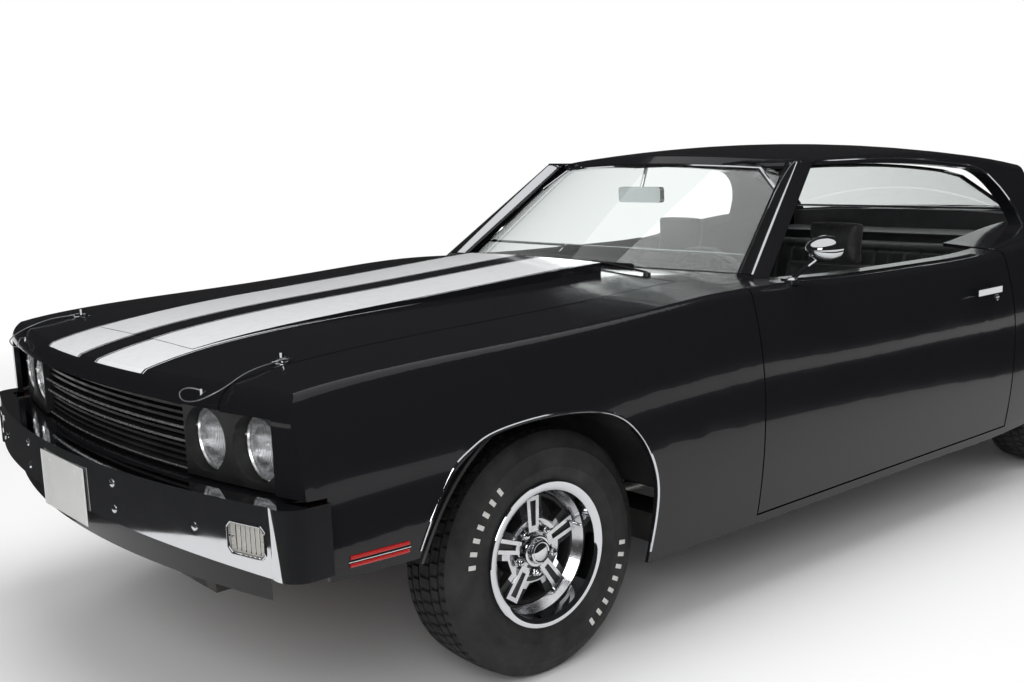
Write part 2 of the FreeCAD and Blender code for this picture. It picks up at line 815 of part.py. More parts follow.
def build_quarter():
    """The left quarter panel: side, deck strip and tail corner, thicker beside the rear seat."""
    region = block(BOOT + SHUT, FAR, DOOR_REAR + SHUT, FAR, 0, FAR)
    outer = panel(region, -SKIN, -SKIN, -SKIN)
    lined = block(DOOR_IN, FAR, DOOR_REAR + SHUT, DOOR_REAR + 330, SILL, FAR)
    inner = panel(lined, -size("door_thick"))
    side = outer.fuse(inner)
    corner = block(0, FAR, TAIL - 240, FAR, 0, size("bumper_low") + size("bumper_tall") + 26)
    below = block(0, FAR, REAR_AXLE + 300, FAR, 0, 380)
    side = cut(side, corner, below, rear_arch())
    return max(side.Solids, key=lambda solid: solid.Volume)


def build_door():
    """The left door, from its skin to its trim, with a slanted rear edge to swing clear."""
    beside_pillar = block(PILLAR_IN, FAR, DOOR_FRONT, PILLAR_REAR + 10, SILL, FAR)
    behind_pillar = block(DOOR_IN, FAR, PILLAR_REAR, DOOR_REAR, SILL, FAR)
    door = panel(beside_pillar.fuse(behind_pillar), -size("door_thick"))
    slant = [(HALF, DOOR_REAR), (DOOR_IN - 40, DOOR_REAR - 20), (DOOR_IN - 40, DOOR_REAR + 20), (HALF, DOOR_REAR + 20)]
    door = door.cut(prism(slant, "xy", 0, FAR))
    leaves = [
        block(PILLAR_IN + 10, PILLAR_IN + 56, DOOR_FRONT - SHUT + SEAM, DOOR_FRONT + 6, z, z + 64)
        for z in (SILL + 90, SILL + 440)
    ]
    door = door.fuse(leaves)
    return max(door.Solids, key=lambda solid: solid.Volume)


def bonnet_dome():
    """The bonnet's raised middle: the skin tipped up from its front, inside a tapered outline."""
    front, rear = NOSE + 190, BONNET_REAR
    tip = math.degrees(math.atan(size("bonnet_rise") / (rear - front)))
    raised = turned(skin, (0, front, 880), X_AXIS, tip)
    outline_points = [(-300, front + 60), (300, front + 60), (352, rear), (-352, rear)]
    taper = prism(outline_points, "xy", 700, FAR)
    return raised, taper


def build_hood():
    """The bonnet with its raised middle, as one pressed panel."""
    region = block(-BONNET, BONNET, -FAR, BONNET_REAR, LAMP_Z + 86, FAR)
    lid = panel(region, 0, size("lid_thick"), -size("lid_thick"))
    raised, taper = bonnet_dome()
    dome = raised.common(taper).common(region).cut(moved(skin, 0, 0, -size("lid_thick")))
    lid = lid.fuse(dome)
    return max(lid.Solids, key=lambda solid: solid.Volume)


def build_trunk():
    """The boot lid."""
    region = block(-BOOT, BOOT, BOOT_FRONT, BOOT_REAR, 0, FAR)
    return panel(region, 0, 0, -size("lid_thick"))



# ---------------------------------------------------------------- floor, bulkheads and wheelhouses
FLOOR_TOP = size("floor_height")
TUNNEL_HALF = 160.0
TUNNEL_TOP = FLOOR_TOP + 190
SEAT_STEP = DOOR_REAR - 20  # where the floor rises under the rear seat
SEAT_PAN = FLOOR_TOP + 140
BOOT_FLOOR = 572.0
CABIN_HALF = 758.0
BULKHEAD = BONNET_REAR + SHUT + 2
SIDE_TOP = FLOOR_TOP - SHEET


def build_cowl():
    """The scuttle between bonnet and windscreen, with the bulkhead under it."""
    half = BONNET + SHUT - SEAM
    middle = block(-half, half, BONNET_REAR + SHUT, DOOR_FRONT - SHUT, 0, FAR)
    rear_half = PILLAR_IN - SHUT
    rear = block(-rear_half, rear_half, DOOR_FRONT - SHUT, PILLAR_REAR - SHUT, 0, FAR)
    top = skin.common(middle.fuse(rear)).cut(moved(skin, 0, 0, -SKIN))
    wall = block(-half, half, BULKHEAD, BULKHEAD + SHEET, FLOOR_TOP, FAR).common(skin)
    jambs = both(PILLAR_IN - SHUT - SKIN, PILLAR_IN - SHUT, DOOR_FRONT - SHUT, PILLAR_REAR - SHUT, SILL, FAR)
    ends = both(half - SHEET, FAR, DOOR_FRONT - SHUT - SHEET, DOOR_FRONT - SHUT, SIDE_TOP, FAR)
    jambs = [jamb.common(skin) for jamb in jambs]
    jambs.append(ends[0].common(moved(skin, -SKIN - SEAM, SKIN, -SKIN - SEAM)))
    jambs.append(ends[1].common(moved(skin, SKIN + SEAM, SKIN, -SKIN - SEAM)))
    rests = both(570, 610, BONNET_REAR - 46, BULKHEAD + 2, 820, FAR)
    under_lid = moved(skin, 0, size("lid_thick"), -size("lid_thick") - SEAM)
    jambs += [rest.common(under_lid) for rest in rests]
    joined = top.fuse([wall] + jambs).cut(tunnel_solid(0))
    return max(joined.Solids, key=lambda solid: solid.Volume)


def tunnel_solid(inset):
    """The space of the transmission tunnel."""
    solids = []
    for half, top, rear in ((TUNNEL_HALF, TUNNEL_TOP, DOOR_FRONT + 520), (TUNNEL_HALF - 40, SEAT_PAN, SEAT_STEP + 46)):
        half, top, rear = half - inset, top - inset, rear - inset * (top > SEAT_PAN)
        points = [(-half, 0), (half, 0), (half, top - 60), (-half, top - 60, 0, top)]
        solids.append(prism(points, "xz", BULKHEAD - 60, rear))
    return solids[0].fuse(solids[1])


def build_floor():
    """Cabin floor with its tunnel, the rise under the rear seat and the boot floor, as one pressing."""
    path = [
        (BULKHEAD, FLOOR_TOP),
        (SEAT_STEP, FLOOR_TOP),
        (SEAT_STEP + 40, SEAT_PAN),
        (SEAT_STEP + 450, SEAT_PAN),
        (SEAT_STEP + 490, BOOT_FLOOR),
        (TAIL - 190, BOOT_FLOOR),
    ]
    under = [(y + (SHEET if z > FLOOR_TOP else 0), z - SHEET) for y, z in reversed(path)]
    middle = prism(path + under, "yz", -BOOT, BOOT)
    wide = prism(path + under, "yz", -CABIN_HALF, CABIN_HALF)
    middle = middle.fuse(wide.common(block(-FAR, FAR, DOOR_FRONT, REAR_AXLE - 400, 0, FAR)))
    tunnel = tunnel_solid(0).common(block(-FAR, FAR, BULKHEAD, FAR, FLOOR_TOP - SHEET, FAR))
    return fused([middle, tunnel]).cut(tunnel_solid(SHEET))


def wheelhouse(axle, radius, inner, behind):
    """The left inner arch over a wheel, closed towards the middle of the car."""
    axis = (axle, AXLE_Z)
    arch = Part.makeCylinder(radius, HALF - inner, Vector(inner, *axis), X_AXIS)
    arch = arch.cut(Part.makeCylinder(radius - SHEET, HALF - inner, Vector(inner + SHEET, *axis), X_AXIS))
    arch = arch.cut(block(-FAR, FAR, -FAR, FAR, -FAR, AXLE_Z + behind))
    inside = moved(skin, -SKIN - SEAM, 0, -SKIN - SEAM)
    return max(arch.common(inside).Solids, key=lambda solid: solid.Volume)


def build_front_wheelhouse():
    """The left front inner wing."""
    house = wheelhouse(FRONT_AXLE - 40, 425, 478, 110)
    return house.cut(block(0, FAR, FRONT_AXLE - 90, FRONT_AXLE + 90, 0, AXLE_Z + 190))


def build_rear_wheelhouse():
    """The left rear wheelhouse, seen in the boot and beside the rear seat."""
    house = wheelhouse(REAR_AXLE, 396, BOOT + SHUT, 60)
    return house.cut(block(DOOR_IN - SEAM, FAR, 0, DOOR_REAR + 330 + SEAM, 0, FAR))


def build_sills():
    """The left sill under the door."""
    region = block(CABIN_HALF + 3, FAR, DOOR_FRONT - SHUT + SEAM, DOOR_REAR + SHUT - SEAM, 0, SILL - SHUT)
    inner = block(CABIN_HALF + SEAM + 2, DOOR_IN - SHUT, DOOR_FRONT + 30, DOOR_REAR - 30, SILL - 40, FLOOR_TOP)
    return skin.common(region).fuse(inner).removeSplitter()


PLATE_Z = 742.0
PLATE_BOLTS = 130.0
PLATE_HOLE = 3.5
PLATE_FACE = TAIL - 56


def build_tail_panel():
    """The panel between the quarter panels, from the boot's sill down to the bumper."""
    half = BOOT + SHUT - SEAM
    region = block(-half, half, BOOT_REAR + SHUT, FAR, BUMPER_TOP - 56, FAR)
    top = panel(region, 0, -SKIN, -SKIN)
    wall = block(-half, half, BOOT_REAR + SHUT, BOOT_REAR + SHUT + SHEET, BOOT_FLOOR, FAR).common(skin)
    foot = block(-half, half, BOOT_REAR + SHUT - 46, TAIL - 66, BOOT_FLOOR, BOOT_FLOOR + SHEET).common(skin)
    boss = block(-PLATE_BOLTS, PLATE_BOLTS, BOOT_REAR + SHUT, PLATE_FACE, PLATE_Z - 50, PLATE_Z + 50)
    holes = [rod(PLATE_HOLE, (x, BOOT_REAR - 50, PLATE_Z), (x, TAIL, PLATE_Z)) for x in (-89, 89)]
    return fused([top, wall, foot, boss]).cut(holes)


def build_rear_shelf():
    """The strip behind the rear window, the parcel shelf and the wall behind the rear seat."""
    half = BOOT + SHUT - SEAM
    y = BACK_FOOT.y
    strip = skin.common(block(-half, half, y - 70, BOOT_FRONT - SHUT, 0, FAR)).cut(moved(skin, 0, 0, -SKIN))
    shelf_top = 926
    riser = block(-half, half, y - 70, y - 70 + SHEET, shelf_top - SHEET, FAR).common(skin)
    shelf = block(-half, half, SEAT_STEP + 560, y - 70 + SHEET, shelf_top - SHEET, shelf_top)
    wall = block(-half, half, SEAT_STEP + 582, SEAT_STEP + 582 + SHEET, BOOT_FLOOR, shelf_top)
    rests = both(500, 540, y - 68, BOOT_FRONT + 46, 880, FAR)
    under_strip = block(-FAR, FAR, -FAR, BOOT_FRONT - SHUT, 0, FAR).common(moved(skin, 0, 0, -SKIN + 1))
    under_lid = moved(skin, 0, 0, -size("lid_thick") - SEAM)
    rests = [rest.common(zone) for rest in rests for zone in (under_strip, under_lid)]
    return fused([strip, riser, shelf, wall] + rests)


# ---------------------------------------------------------------- front and rear ends
BUMPER_LOW = size("bumper_low")
BUMPER_TOP = BUMPER_LOW + size("bumper_tall")
BUMPER_DEEP = size("bumper_deep")
BUMPER_RADIUS = 3300.0
BUMPER_END = HALF - 4
BEZEL_IN = 476.0
BEZEL_OUT = HALF - 119 - SEAM
BEZEL_LOW, BEZEL_TOP = LAMP_Z - 94, LAMP_Z + 84
BEZEL_INSET = 34.0  # from the nose's face back to the bezels' face
ARM_X, ARM_Z = 340.0, BUMPER_LOW + 44  # the frame's arms that carry the front bumper
BUMPER_REAR = FRONT_AXLE - 690 - SHUT  # rear ends of the front bumper's filler


def bumper_band(face, deep, low, top, half, sign):
    """A bar that follows the car's end in plan and wraps a little round its corners."""
    bend_radius = BUMPER_RADIUS if sign < 0 else TAIL_RADIUS
    centre = face - sign * bend_radius

    def plan(inset, reach):
        radius = bend_radius - inset
        side = half - inset
        turn = side - 70
        at = lambda x: centre + sign * math.sqrt(radius**2 - x**2)
        back = face - sign * reach
        corner = (side, at(turn) - sign * 62)
        bend = (side - 16, at(turn) - sign * 18)
        return [
            (-side, back),
            (-corner[0], corner[1]),
            (-turn, at(turn), -bend[0], bend[1]),
            (turn, at(turn), 0, centre + sign * radius),
            (corner[0], corner[1], bend[0], bend[1]),
            (side, back),
        ]

    outer = prism(plan(0, 232), "xy", low, top)
    inner = prism(plan(deep, 260), "xy", low - 10, top + 10)
    return outer.cut(inner)


TURN_IN, TURN_OUT = HALF - 200, HALF - 92
TURN_LOW, TURN_TOP = BUMPER_LOW + 44, BUMPER_LOW + 112
TURN_REACH = 180.0  # from the bumper's face to behind its corner


def build_front_bumper():
    """The chromed front bumper, its lower edge arched, with pockets for the turn lamps."""
    bar = bumper_band(NOSE, BUMPER_DEEP, BUMPER_LOW, BUMPER_TOP, BUMPER_END, -1)
    rise = size("bumper_arch")
    arch_radius = (BUMPER_END**2 + rise**2) / (2 * rise)
    arch = Part.makeCylinder(arch_radius, 600, Vector(0, NOSE - 100, BUMPER_LOW + rise - arch_radius), Y_AXIS)
    pocket = both(TURN_IN, TURN_OUT, NOSE - 10, NOSE + TURN_REACH, TURN_LOW, TURN_TOP)
    pocket = Part.makeCompound(pocket).cut(bumper_band(NOSE + 26, 30, 0, FAR, BUMPER_END - 26, -1))
    return bar.cut(arch).cut(pocket.Solids)


def build_turn_lamps():
    """Front turn lamps in the bumper, as two lenses."""
    low, top = TURN_LOW + SEAM, TURN_TOP - SEAM
    pocket = both(TURN_IN + SEAM, TURN_OUT - SEAM, NOSE - 10, NOSE + TURN_REACH, low, top)
    band = bumper_band(NOSE + 5, 18, 0, FAR, BUMPER_END - 5, -1)
    return Part.makeCompound(Part.makeCompound(pocket).common(band).Solids)


REAR_LAMP_IN, REAR_LAMP_OUT = 560.0, 800.0


def build_rear_bumper():
    """The chromed rear bumper with pockets for the tail lamps."""
    bar = bumper_band(TAIL, BUMPER_DEEP, BUMPER_LOW, BUMPER_TOP + 8, HALF - 6, 1)
    pocket = both(REAR_LAMP_IN, REAR_LAMP_OUT, TAIL - 96, TAIL + 10, TURN_LOW, TURN_TOP)
    pocket = Part.makeCompound(pocket).cut(bumper_band(TAIL - 26, 30, 0, FAR, HALF - 32, 1))
    return bar.cut(pocket.Solids)


def build_tail_lamps():
    """Tail lamps in the bumper, as two lenses."""
    low, top = TURN_LOW + SEAM, TURN_TOP - SEAM
    pocket = both(REAR_LAMP_IN + SEAM, REAR_LAMP_OUT - SEAM, TAIL - 96, TAIL + 10, low, top)
    band = bumper_band(TAIL - 5, 20, 0, FAR, HALF - 11, 1)
    return Part.makeCompound(Part.makeCompound(pocket).common(band).Solids)


def build_valance():
    """The painted apron behind and under the front bumper, with the filler between bumper and grille."""
    face, top = NOSE + BUMPER_DEEP + SEAM, BEZEL_LOW - SHUT
    half = BUMPER_END - BUMPER_DEEP - SEAM
    apron = bumper_band(face, SHEET, BUMPER_LOW - 70, top, half, -1)
    apron = apron.cut(block(-FAR, FAR, NOSE + 150, FAR, 0, FAR))
    filler = bumper_band(face, FAR / 10, top - SHEET, top, half, -1)
    filler = filler.common(block(-BEZEL_OUT, BEZEL_OUT, NOSE, BUMPER_REAR, 0, FAR))
    slots = both(ARM_X - SEAM, ARM_X + 50 + SEAM, NOSE, BUMPER_REAR, ARM_Z - SEAM, ARM_Z + 46 + SEAM)
    return apron.fuse(filler).cut(slots + [moved(build_front_bumper(), 0, SEAM, 0)])


def build_front_plate():
    """A blank registration plate hanging in front of the bumper's middle."""
    low = BUMPER_LOW - 18
    body = new_body("front_plate")
    pad(body, "xz", rectangle(-152.5, 152.5, low, low + 152), NOSE - 3 - SEAM, NOSE - SEAM)
    fillet(body, 12, lambda edge: along(edge, Y_AXIS))
    return body


def lens_face(x):
    """Where a headlamp's glass is foremost: it follows the nose."""
    return NOSE + 66 + BEZEL_INSET + 12 + x * x / (2 * NOSE_RADIUS)


def build_bezels():
    """The lamp surrounds on both sides, each with two round openings."""
    rough = block(BEZEL_IN, BEZEL_OUT, NOSE, FRONT_AXLE - 650 - SEAM, BEZEL_LOW + SEAM, BEZEL_TOP - SEAM)
    rough = rough.common(nose_inside(BEZEL_INSET))
    radius = size("lamp_radius")
    for x in (size("lamp_inner"), size("lamp_outer")):
        ring = Part.makeCylinder(radius + 6, 200, Vector(x, lens_face(x) + 26, LAMP_Z), Y_AXIS * -1)
        well = Part.makeCylinder(radius - 14, 400, Vector(x, lens_face(x) - 100, LAMP_Z), Y_AXIS)
        rough = cut(rough, ring, well)
    return Part.makeCompound([rough, mirrored(rough)])


def build_headlamp(name, x):
    """One sealed-beam lamp: a turned bowl with a domed glass, along its own Z axis, then laid facing forwards."""
    body = new_body(f"lamp_{name}")
    radius, dome = size("lamp_radius"), 200.0
    edge, middle = (math.sqrt(dome**2 - reach**2) - dome for reach in (radius, radius / 2))
    profile = [(0, -26 + SEAM), (radius, -26 + SEAM), (radius, edge), (0, 0, radius / 2, middle)]
    revolution(body, "xz", profile, "V_Axis")
    place(body, x, lens_face(abs(x)), LAMP_Z, Rotation(X_AXIS, 90))
    return body


def build_headlamps():
    """Four sealed-beam lamps."""
    spots = (("outer_left", 1, "lamp_outer"), ("inner_left", 1, "lamp_inner"))
    spots += (("inner_right", -1, "lamp_inner"), ("outer_right", -1, "lamp_outer"))
    return compound("headlamps", [build_headlamp(name, side * size(alias)) for name, side, alias in spots])


GRILLE_SET_BACK = 46.0
GRILLE_HALF = BEZEL_IN - SEAM


def build_grille():
    """Horizontal bars that follow the nose, tied by posts, with a bright bar above and below."""
    centre = Vector(0, NOSE + 66 + NOSE_RADIUS, 0)
    low, top = BEZEL_LOW + SEAM, BEZEL_TOP - SEAM

    def band(z0, z1, front, deep):
        outer = Part.makeCylinder(NOSE_RADIUS - front, z1 - z0, Vector(0, centre.y, z0))
        inner = Part.makeCylinder(NOSE_RADIUS - front - deep, z1 - z0, Vector(0, centre.y, z0))
        inside = block(-GRILLE_HALF, GRILLE_HALF, NOSE, NOSE + 400, z0, z1)
        return outer.cut(inner).common(inside)

    count = 9
    bright = (4, 6)  # the bars that stand proud
    pitch = (top - low - 12) / (count + 1)
    bars = [band(low, low + 12, GRILLE_SET_BACK, 34), band(top - 12, top, GRILLE_SET_BACK, 34)]
    for index in range(1, count + 1):
        z = low + index * pitch
        proud = 8 if index in bright else 0
        bars.append(band(z + 2, z + 9, GRILLE_SET_BACK - proud + 8, 20 + proud))
    posts = band(low, top, GRILLE_SET_BACK + 22, 12)
    for x in (-GRILLE_HALF, -240, -8, 224, GRILLE_HALF - 14):
        bars.append(posts.common(block(x, x + 14, NOSE, NOSE + 400, low, top)))
    return fused(bars)


def build_radiator_support():
    """The front panel on the frame's ends, with the radiator in it."""
    y = FRONT_AXLE - 650
    body = new_body("radiator_support")
    pad(body, "xz", rectangle(-648, 648, FRAME_TOP, LAMP_Z + 74), y, y + 60)
    pocket(body, "xz", rectangle(-340, 340, FRAME_TOP + 40, LAMP_Z + 44), y, y + 60)
    pad(body, "xz", rectangle(-346, 346, FRAME_TOP + 30, LAMP_Z + 50), y + 8, y + 80)
    return body


# ---------------------------------------------------------------- frame and running gear
FRAME_TOP = 400.0
RAIL_WIDE = size("rail_wide")
SIDE_LOW = SIDE_TOP - size("rail_tall") + 10
SPRING_RADIUS = 54.0
SPRING_X = 515.0
SPRING_SEAT = BOOT_FLOOR - 94  # underside of the rear rails over the axle
PINION = REAR_AXLE - 150  # front end of the axle's nose


def build_frame():
    """The perimeter frame: front and rear rails kicked up over the axles, side rails and crossmembers."""
    low = FRAME_TOP - size("rail_tall")
    front = [
        (NOSE + 215, low),
        (NOSE + 215, FRAME_TOP),
        (DOOR_FRONT - 330, FRAME_TOP),
        (DOOR_FRONT - 150, SIDE_TOP),
        (DOOR_FRONT - 150, SIDE_LOW),
        (DOOR_FRONT - 270, SIDE_LOW),
        (DOOR_FRONT - 410, low),
    ]
    rear = [
        (SEAT_STEP - 20, SIDE_LOW),
        (SEAT_STEP - 20, SIDE_TOP),
        (SEAT_STEP + 8, SIDE_TOP),
        (SEAT_STEP + 100, SEAT_PAN - SHEET - 10),
        (SEAT_STEP + 464, SEAT_PAN - SHEET - 10),
        (SEAT_STEP + 508, BOOT_FLOOR - SHEET),
        (TAIL - 190, BOOT_FLOOR - SHEET),
        (TAIL - 190, SPRING_SEAT),
        (REAR_AXLE - SPRING_RADIUS - 6, SPRING_SEAT),
        (SEAT_STEP + 430, SEAT_PAN - 96),
        (SEAT_STEP + 160, SEAT_PAN - 96),
        (SEAT_STEP + 100, SIDE_LOW),
    ]
    body = new_body("frame_bars")
    rails = [
        pad(body, "yz", front, 330, 330 + RAIL_WIDE),
        pad(body, "yz", rear, 480, 480 + RAIL_WIDE),
        beam(body, 330, 688 + RAIL_WIDE, DOOR_FRONT - 270, DOOR_FRONT - 150, SIDE_LOW, SIDE_TOP),
        beam(body, 688, 688 + RAIL_WIDE, DOOR_FRONT - 160, SEAT_STEP + 80, SIDE_LOW, SIDE_TOP),
        beam(body, 480, 688 + RAIL_WIDE, SEAT_STEP - 20, SEAT_STEP + 80, SIDE_LOW, SIDE_TOP - 6),
        beam(body, 350, 330 + RAIL_WIDE, FRONT_AXLE - 70, FRONT_AXLE + 70, FRAME_TOP - 10, AXLE_Z + 150),
        beam(body, ARM_X, ARM_X + 50, NOSE + 215, NOSE + 255, FRAME_TOP - 10, ARM_Z + 16),
        beam(body, ARM_X, ARM_X + 50, NOSE + BUMPER_DEEP - 6, NOSE + 255, ARM_Z, ARM_Z + 46),
        beam(body, 490, 540, TAIL - 192, TAIL - BUMPER_DEEP + 6, BUMPER_LOW + 10, BUMPER_LOW + 66),
    ]
    mirrored_features(body, rails, "YZ_Plane")
    beam(body, -380, 380, FRONT_AXLE - 90, FRONT_AXLE + 90, low - 90, low + 20)
    beam(body, -380, 380, NOSE + 215, NOSE + 265, low, FRAME_TOP)
    beam(body, -700, 700, DOOR_FRONT + 440, DOOR_FRONT + 500, SIDE_TOP - 56, SIDE_TOP)
    beam(body, -500, 500, REAR_AXLE + 330, REAR_AXLE + 390, BOOT_FLOOR - 60, BOOT_FLOOR - SHEET)
    beam(body, -500, 500, TAIL - 240, TAIL - 190, SPRING_SEAT, BOOT_FLOOR - SHEET)
    bumpers = [moved(build_front_bumper(), 0, SEAM, 0), moved(build_rear_bumper(), 0, -SEAM, 0)]
    return less("frame", body, shape_object("bumper_space", Part.makeCompound(bumpers)))


def build_engine():
    """The engine as one plain heavy block of its real outline, with its air cleaner."""
    half = [(150, 330), (170, 480), (300, 640), (230, 745), (110, 690), (110, 780)]
    body = new_body("engine")
    pad(body, "xz", half + [(-x, z) for x, z in reversed(half)], FRONT_AXLE - 350, FRONT_AXLE + 580)
    pad(body, "xy", (0, FRONT_AXLE + 60, 190), 779, 855)
    return body


SHAFT_Z = FLOOR_TOP + 85


def build_driveline():
    """Gearbox and propeller shaft."""
    box_end, shaft_end, shaft_low = DOOR_FRONT + 470, PINION - SEAM, AXLE_Z + 12
    body = new_body("driveline")
    pad(body, "xz", (0, SHAFT_Z + 60, 150), FRONT_AXLE + 580 + SEAM, BULKHEAD - 50)
    pad(body, "xz", (0, SHAFT_Z, 85), BULKHEAD - 60, box_end)
    shaft = add_feature(body, "AdditiveLoft", new_sketch(body, "xz", box_end - 10, (0, SHAFT_Z, 38)))
    shaft.Sections = [new_sketch(body, "xz", shaft_end - 12, (0, shaft_low, 38))]
    pad(body, "xz", (0, shaft_low, 50), shaft_end - 16, shaft_end)
    return body


def pipe(points, radius):
    """A bent tube through a few points, with a ball in each bend."""
    pieces = [rod(radius, a, b) for a, b in zip(points, points[1:])]
    pieces += [Part.makeSphere(radius, Vector(*p)) for p in points[1:-1]]
    return pieces


def build_exhaust():
    """Two exhaust pipes with mufflers, from the manifolds to behind the rear axle."""
    low = SIDE_LOW - 6
    route = [
        (226, FRONT_AXLE + 300, 490),
        (226, FRONT_AXLE + 300, low),
        (262, FRONT_AXLE + 480, low),
        (262, SEAT_STEP + 120, low),
        (400, SEAT_STEP + 330, low),
        (400, REAR_AXLE + 330, low),
        (400, TAIL - 120, low + 90),
    ]
    manifold = block(203, 249, FRONT_AXLE - 270, FRONT_AXLE + 340, 478, 520)
    muffler = rod(66, (262, DOOR_REAR - 440, low), (262, DOOR_REAR - 20, low))
    left = fused(pipe(route, 25) + [manifold, muffler])
    return Part.makeCompound([left, mirrored(left)])


def build_fuel_tank():
    """The fuel tank under the boot floor."""
    body = new_body("fuel_tank")
    beam(body, -430, 430, REAR_AXLE + 400, TAIL - 250, BOOT_FLOOR - 180, BOOT_FLOOR - SHEET)
    fillet(body, 50, lambda edge: along(edge, Z_AXIS))
    return body


WHEEL_X = size("track") / 2
STUB_RADIUS = size("bore_radius") - 0.5
HUB_FACE = WHEEL_X - 40 - SHUT
STUB_END = WHEEL_X + 26


def build_rear_axle():
    """The live rear axle: one turned shape with its drums and wheel stubs, the pinion nose and the springs."""
    tube, bulge, drum = 42, 132, 138
    left = [
        (150, tube),
        (HUB_FACE - 62, tube),
        (HUB_FACE - 62, drum),
        (HUB_FACE, drum),
        (HUB_FACE, STUB_RADIUS),
        (STUB_END, STUB_RADIUS),
        (STUB_END, 0),
    ]
    right = [(-x, radius) for x, radius in reversed(left)]
    body = new_body("rear_axle")
    revolution(body, "xz", right + [(150, tube, 0, bulge)] + left[1:], "H_Axis")
    pad(body, "xz", (0, 0, 58), PINION - REAR_AXLE, 0)
    for x in (-SPRING_X, SPRING_X):
        pad(body, "xy", (x, 0, SPRING_RADIUS), 20, SPRING_SEAT - SEAM - AXLE_Z)
    place(body, 0, REAR_AXLE, AXLE_Z)
    return body


ARM_LOW, ARM_TOP = AXLE_Z - 104, AXLE_Z + 104
KINGPIN = size("kingpin")


def build_control_arms():
    """The four front suspension arms, narrow at the wheels so that these can steer."""
    body = new_body("front_control_arms")
    blades = []
    for root, half, low in ((380 + SEAM, 84, ARM_LOW - 22), (330 + RAIL_WIDE + SEAM, 66, ARM_TOP)):
        drawing = [
            (root, FRONT_AXLE - half),
            (640, FRONT_AXLE - 26),
            (KINGPIN, FRONT_AXLE - 26),
            (KINGPIN, FRONT_AXLE + 26, KINGPIN + 26, FRONT_AXLE),
            (640, FRONT_AXLE + 26),
            (root, FRONT_AXLE + half),
        ]
        blades.append(pad(body, "xy", drawing, low, low + 22))
    mirrored_features(body, blades, "YZ_Plane")
    return body


def build_knuckle(label):
    """The left steering knuckle: an upright between the arms with the wheel's stub and a backing plate."""
    body = new_body(label)
    pad(body, "xy", (KINGPIN, FRONT_AXLE, 18), ARM_LOW + SEAM, ARM_TOP - SEAM)
    pad(body, "yz", (FRONT_AXLE, AXLE_Z, STUB_RADIUS), KINGPIN, STUB_END)
    pad(body, "yz", (FRONT_AXLE, AXLE_Z, 94), KINGPIN + 4, HUB_FACE)
    beam(body, KINGPIN - 30, KINGPIN + 10, FRONT_AXLE, FRONT_AXLE + 96, AXLE_Z - 70, AXLE_Z - 48)
    return body


# ---------------------------------------------------------------- cabin fittings
DRIVER = 395.0  # middle of the car to the middle of a front seat
COLUMN_TILT = 26.0  # degrees from level
WHEEL_HUB = Vector(DRIVER, DOOR_FRONT + 445, FLOOR_TOP + 530)
tilt = math.radians(COLUMN_TILT)
COLUMN_AXIS = Vector(0, math.cos(tilt), math.sin(tilt))
COLUMN_RADIUS = 28.0
COLUMN_TURN = Rotation(X_AXIS, COLUMN_TILT - 90)


def build_column():
    """The steering column, from the bulkhead to the steering wheel, along its own Z axis."""
    slope = math.tan(tilt)
    foot = (WHEEL_HUB.y - BULKHEAD - SHEET - SEAM) / COLUMN_AXIS.y - 12 * slope
    shroud = (WHEEL_HUB.y - BULKHEAD - SHEET - 14) / COLUMN_AXIS.y
    body = new_body("steering_column")
    pad(body, "xy", (0, 0, COLUMN_RADIUS), -shroud, -22.5)
    pad(body, "xy", (0, 0, 12), -foot, 10 - shroud)
    place(body, WHEEL_HUB.x, WHEEL_HUB.y, WHEEL_HUB.z, COLUMN_TURN)
    return body


def build_steering_wheel():
    """A thin round rim on three spokes, about its own Z axis."""
    radius = size("wheel_ring")
    body = new_body("steering_wheel")
    revolution(body, "xz", (radius, 0, 12), "V_Axis")
    spoke = pad(body, "xy", rectangle(-12, 12, 0, radius), -2.5, 2.5)
    polar_pattern(body, [spoke], "Z_Axis", 3, 200)
    pad(body, "xy", (0, 0, 34), -22, 2)
    place(body, WHEEL_HUB.x, WHEEL_HUB.y, WHEEL_HUB.z, COLUMN_TURN * Rotation(Z_AXIS, -100))
    return body


def build_dashboard():
    """The instrument panel across the cabin, cut out round the steering column."""
    y = BULKHEAD + SHEET
    points = [
        (y, 800),
        (y, 905),
        (DOOR_FRONT + 90, 925),
        (DOOR_FRONT + 270, 905),
        (DOOR_FRONT + 300, 868, DOOR_FRONT + 292, 892),
        (DOOR_FRONT + 285, 740),
        (DOOR_FRONT + 225, 690),
        (DOOR_FRONT + 140, 700),
    ]
    half = BONNET + SHUT - SEAM - SHEET - SEAM
    body = new_body("dashboard_form")
    pad(body, "yz", points, -half, half)
    hole = doc.addObject("Part::Cylinder", "column_hole")
    bind(hole, "Radius", COLUMN_RADIUS + SEAM)
    hole.Height = 900
    back = COLUMN_AXIS * -860
    place(hole, WHEEL_HUB.x, WHEEL_HUB.y + back.y, WHEEL_HUB.z + back.z, COLUMN_TURN)
    return less("dashboard", body, hole)


def build_front_seat(label):
    """The left front bucket seat with its headrest."""
    y, z = DOOR_FRONT + 590, FLOOR_TOP
    side = [
        (y - 30, z),
        (y - 62, z + 120),
        (y - 20, z + 205, y - 62, z + 180),
        (y + 360, z + 175),
        (y + 500, z + 600),
        (y + 585, z + 590, y + 545, z + 625),
        (y + 500, z + 120),
        (y + 450, z),
    ]
    body = new_body(label)
    pad(body, "yz", side, DRIVER - 225, DRIVER + 225)
    rest = rounded_rectangle(DRIVER - 115, DRIVER + 115, z + 560, z + 740, 40)
    pad(body, "xz", rest, y + 505, y + 575)
    return body


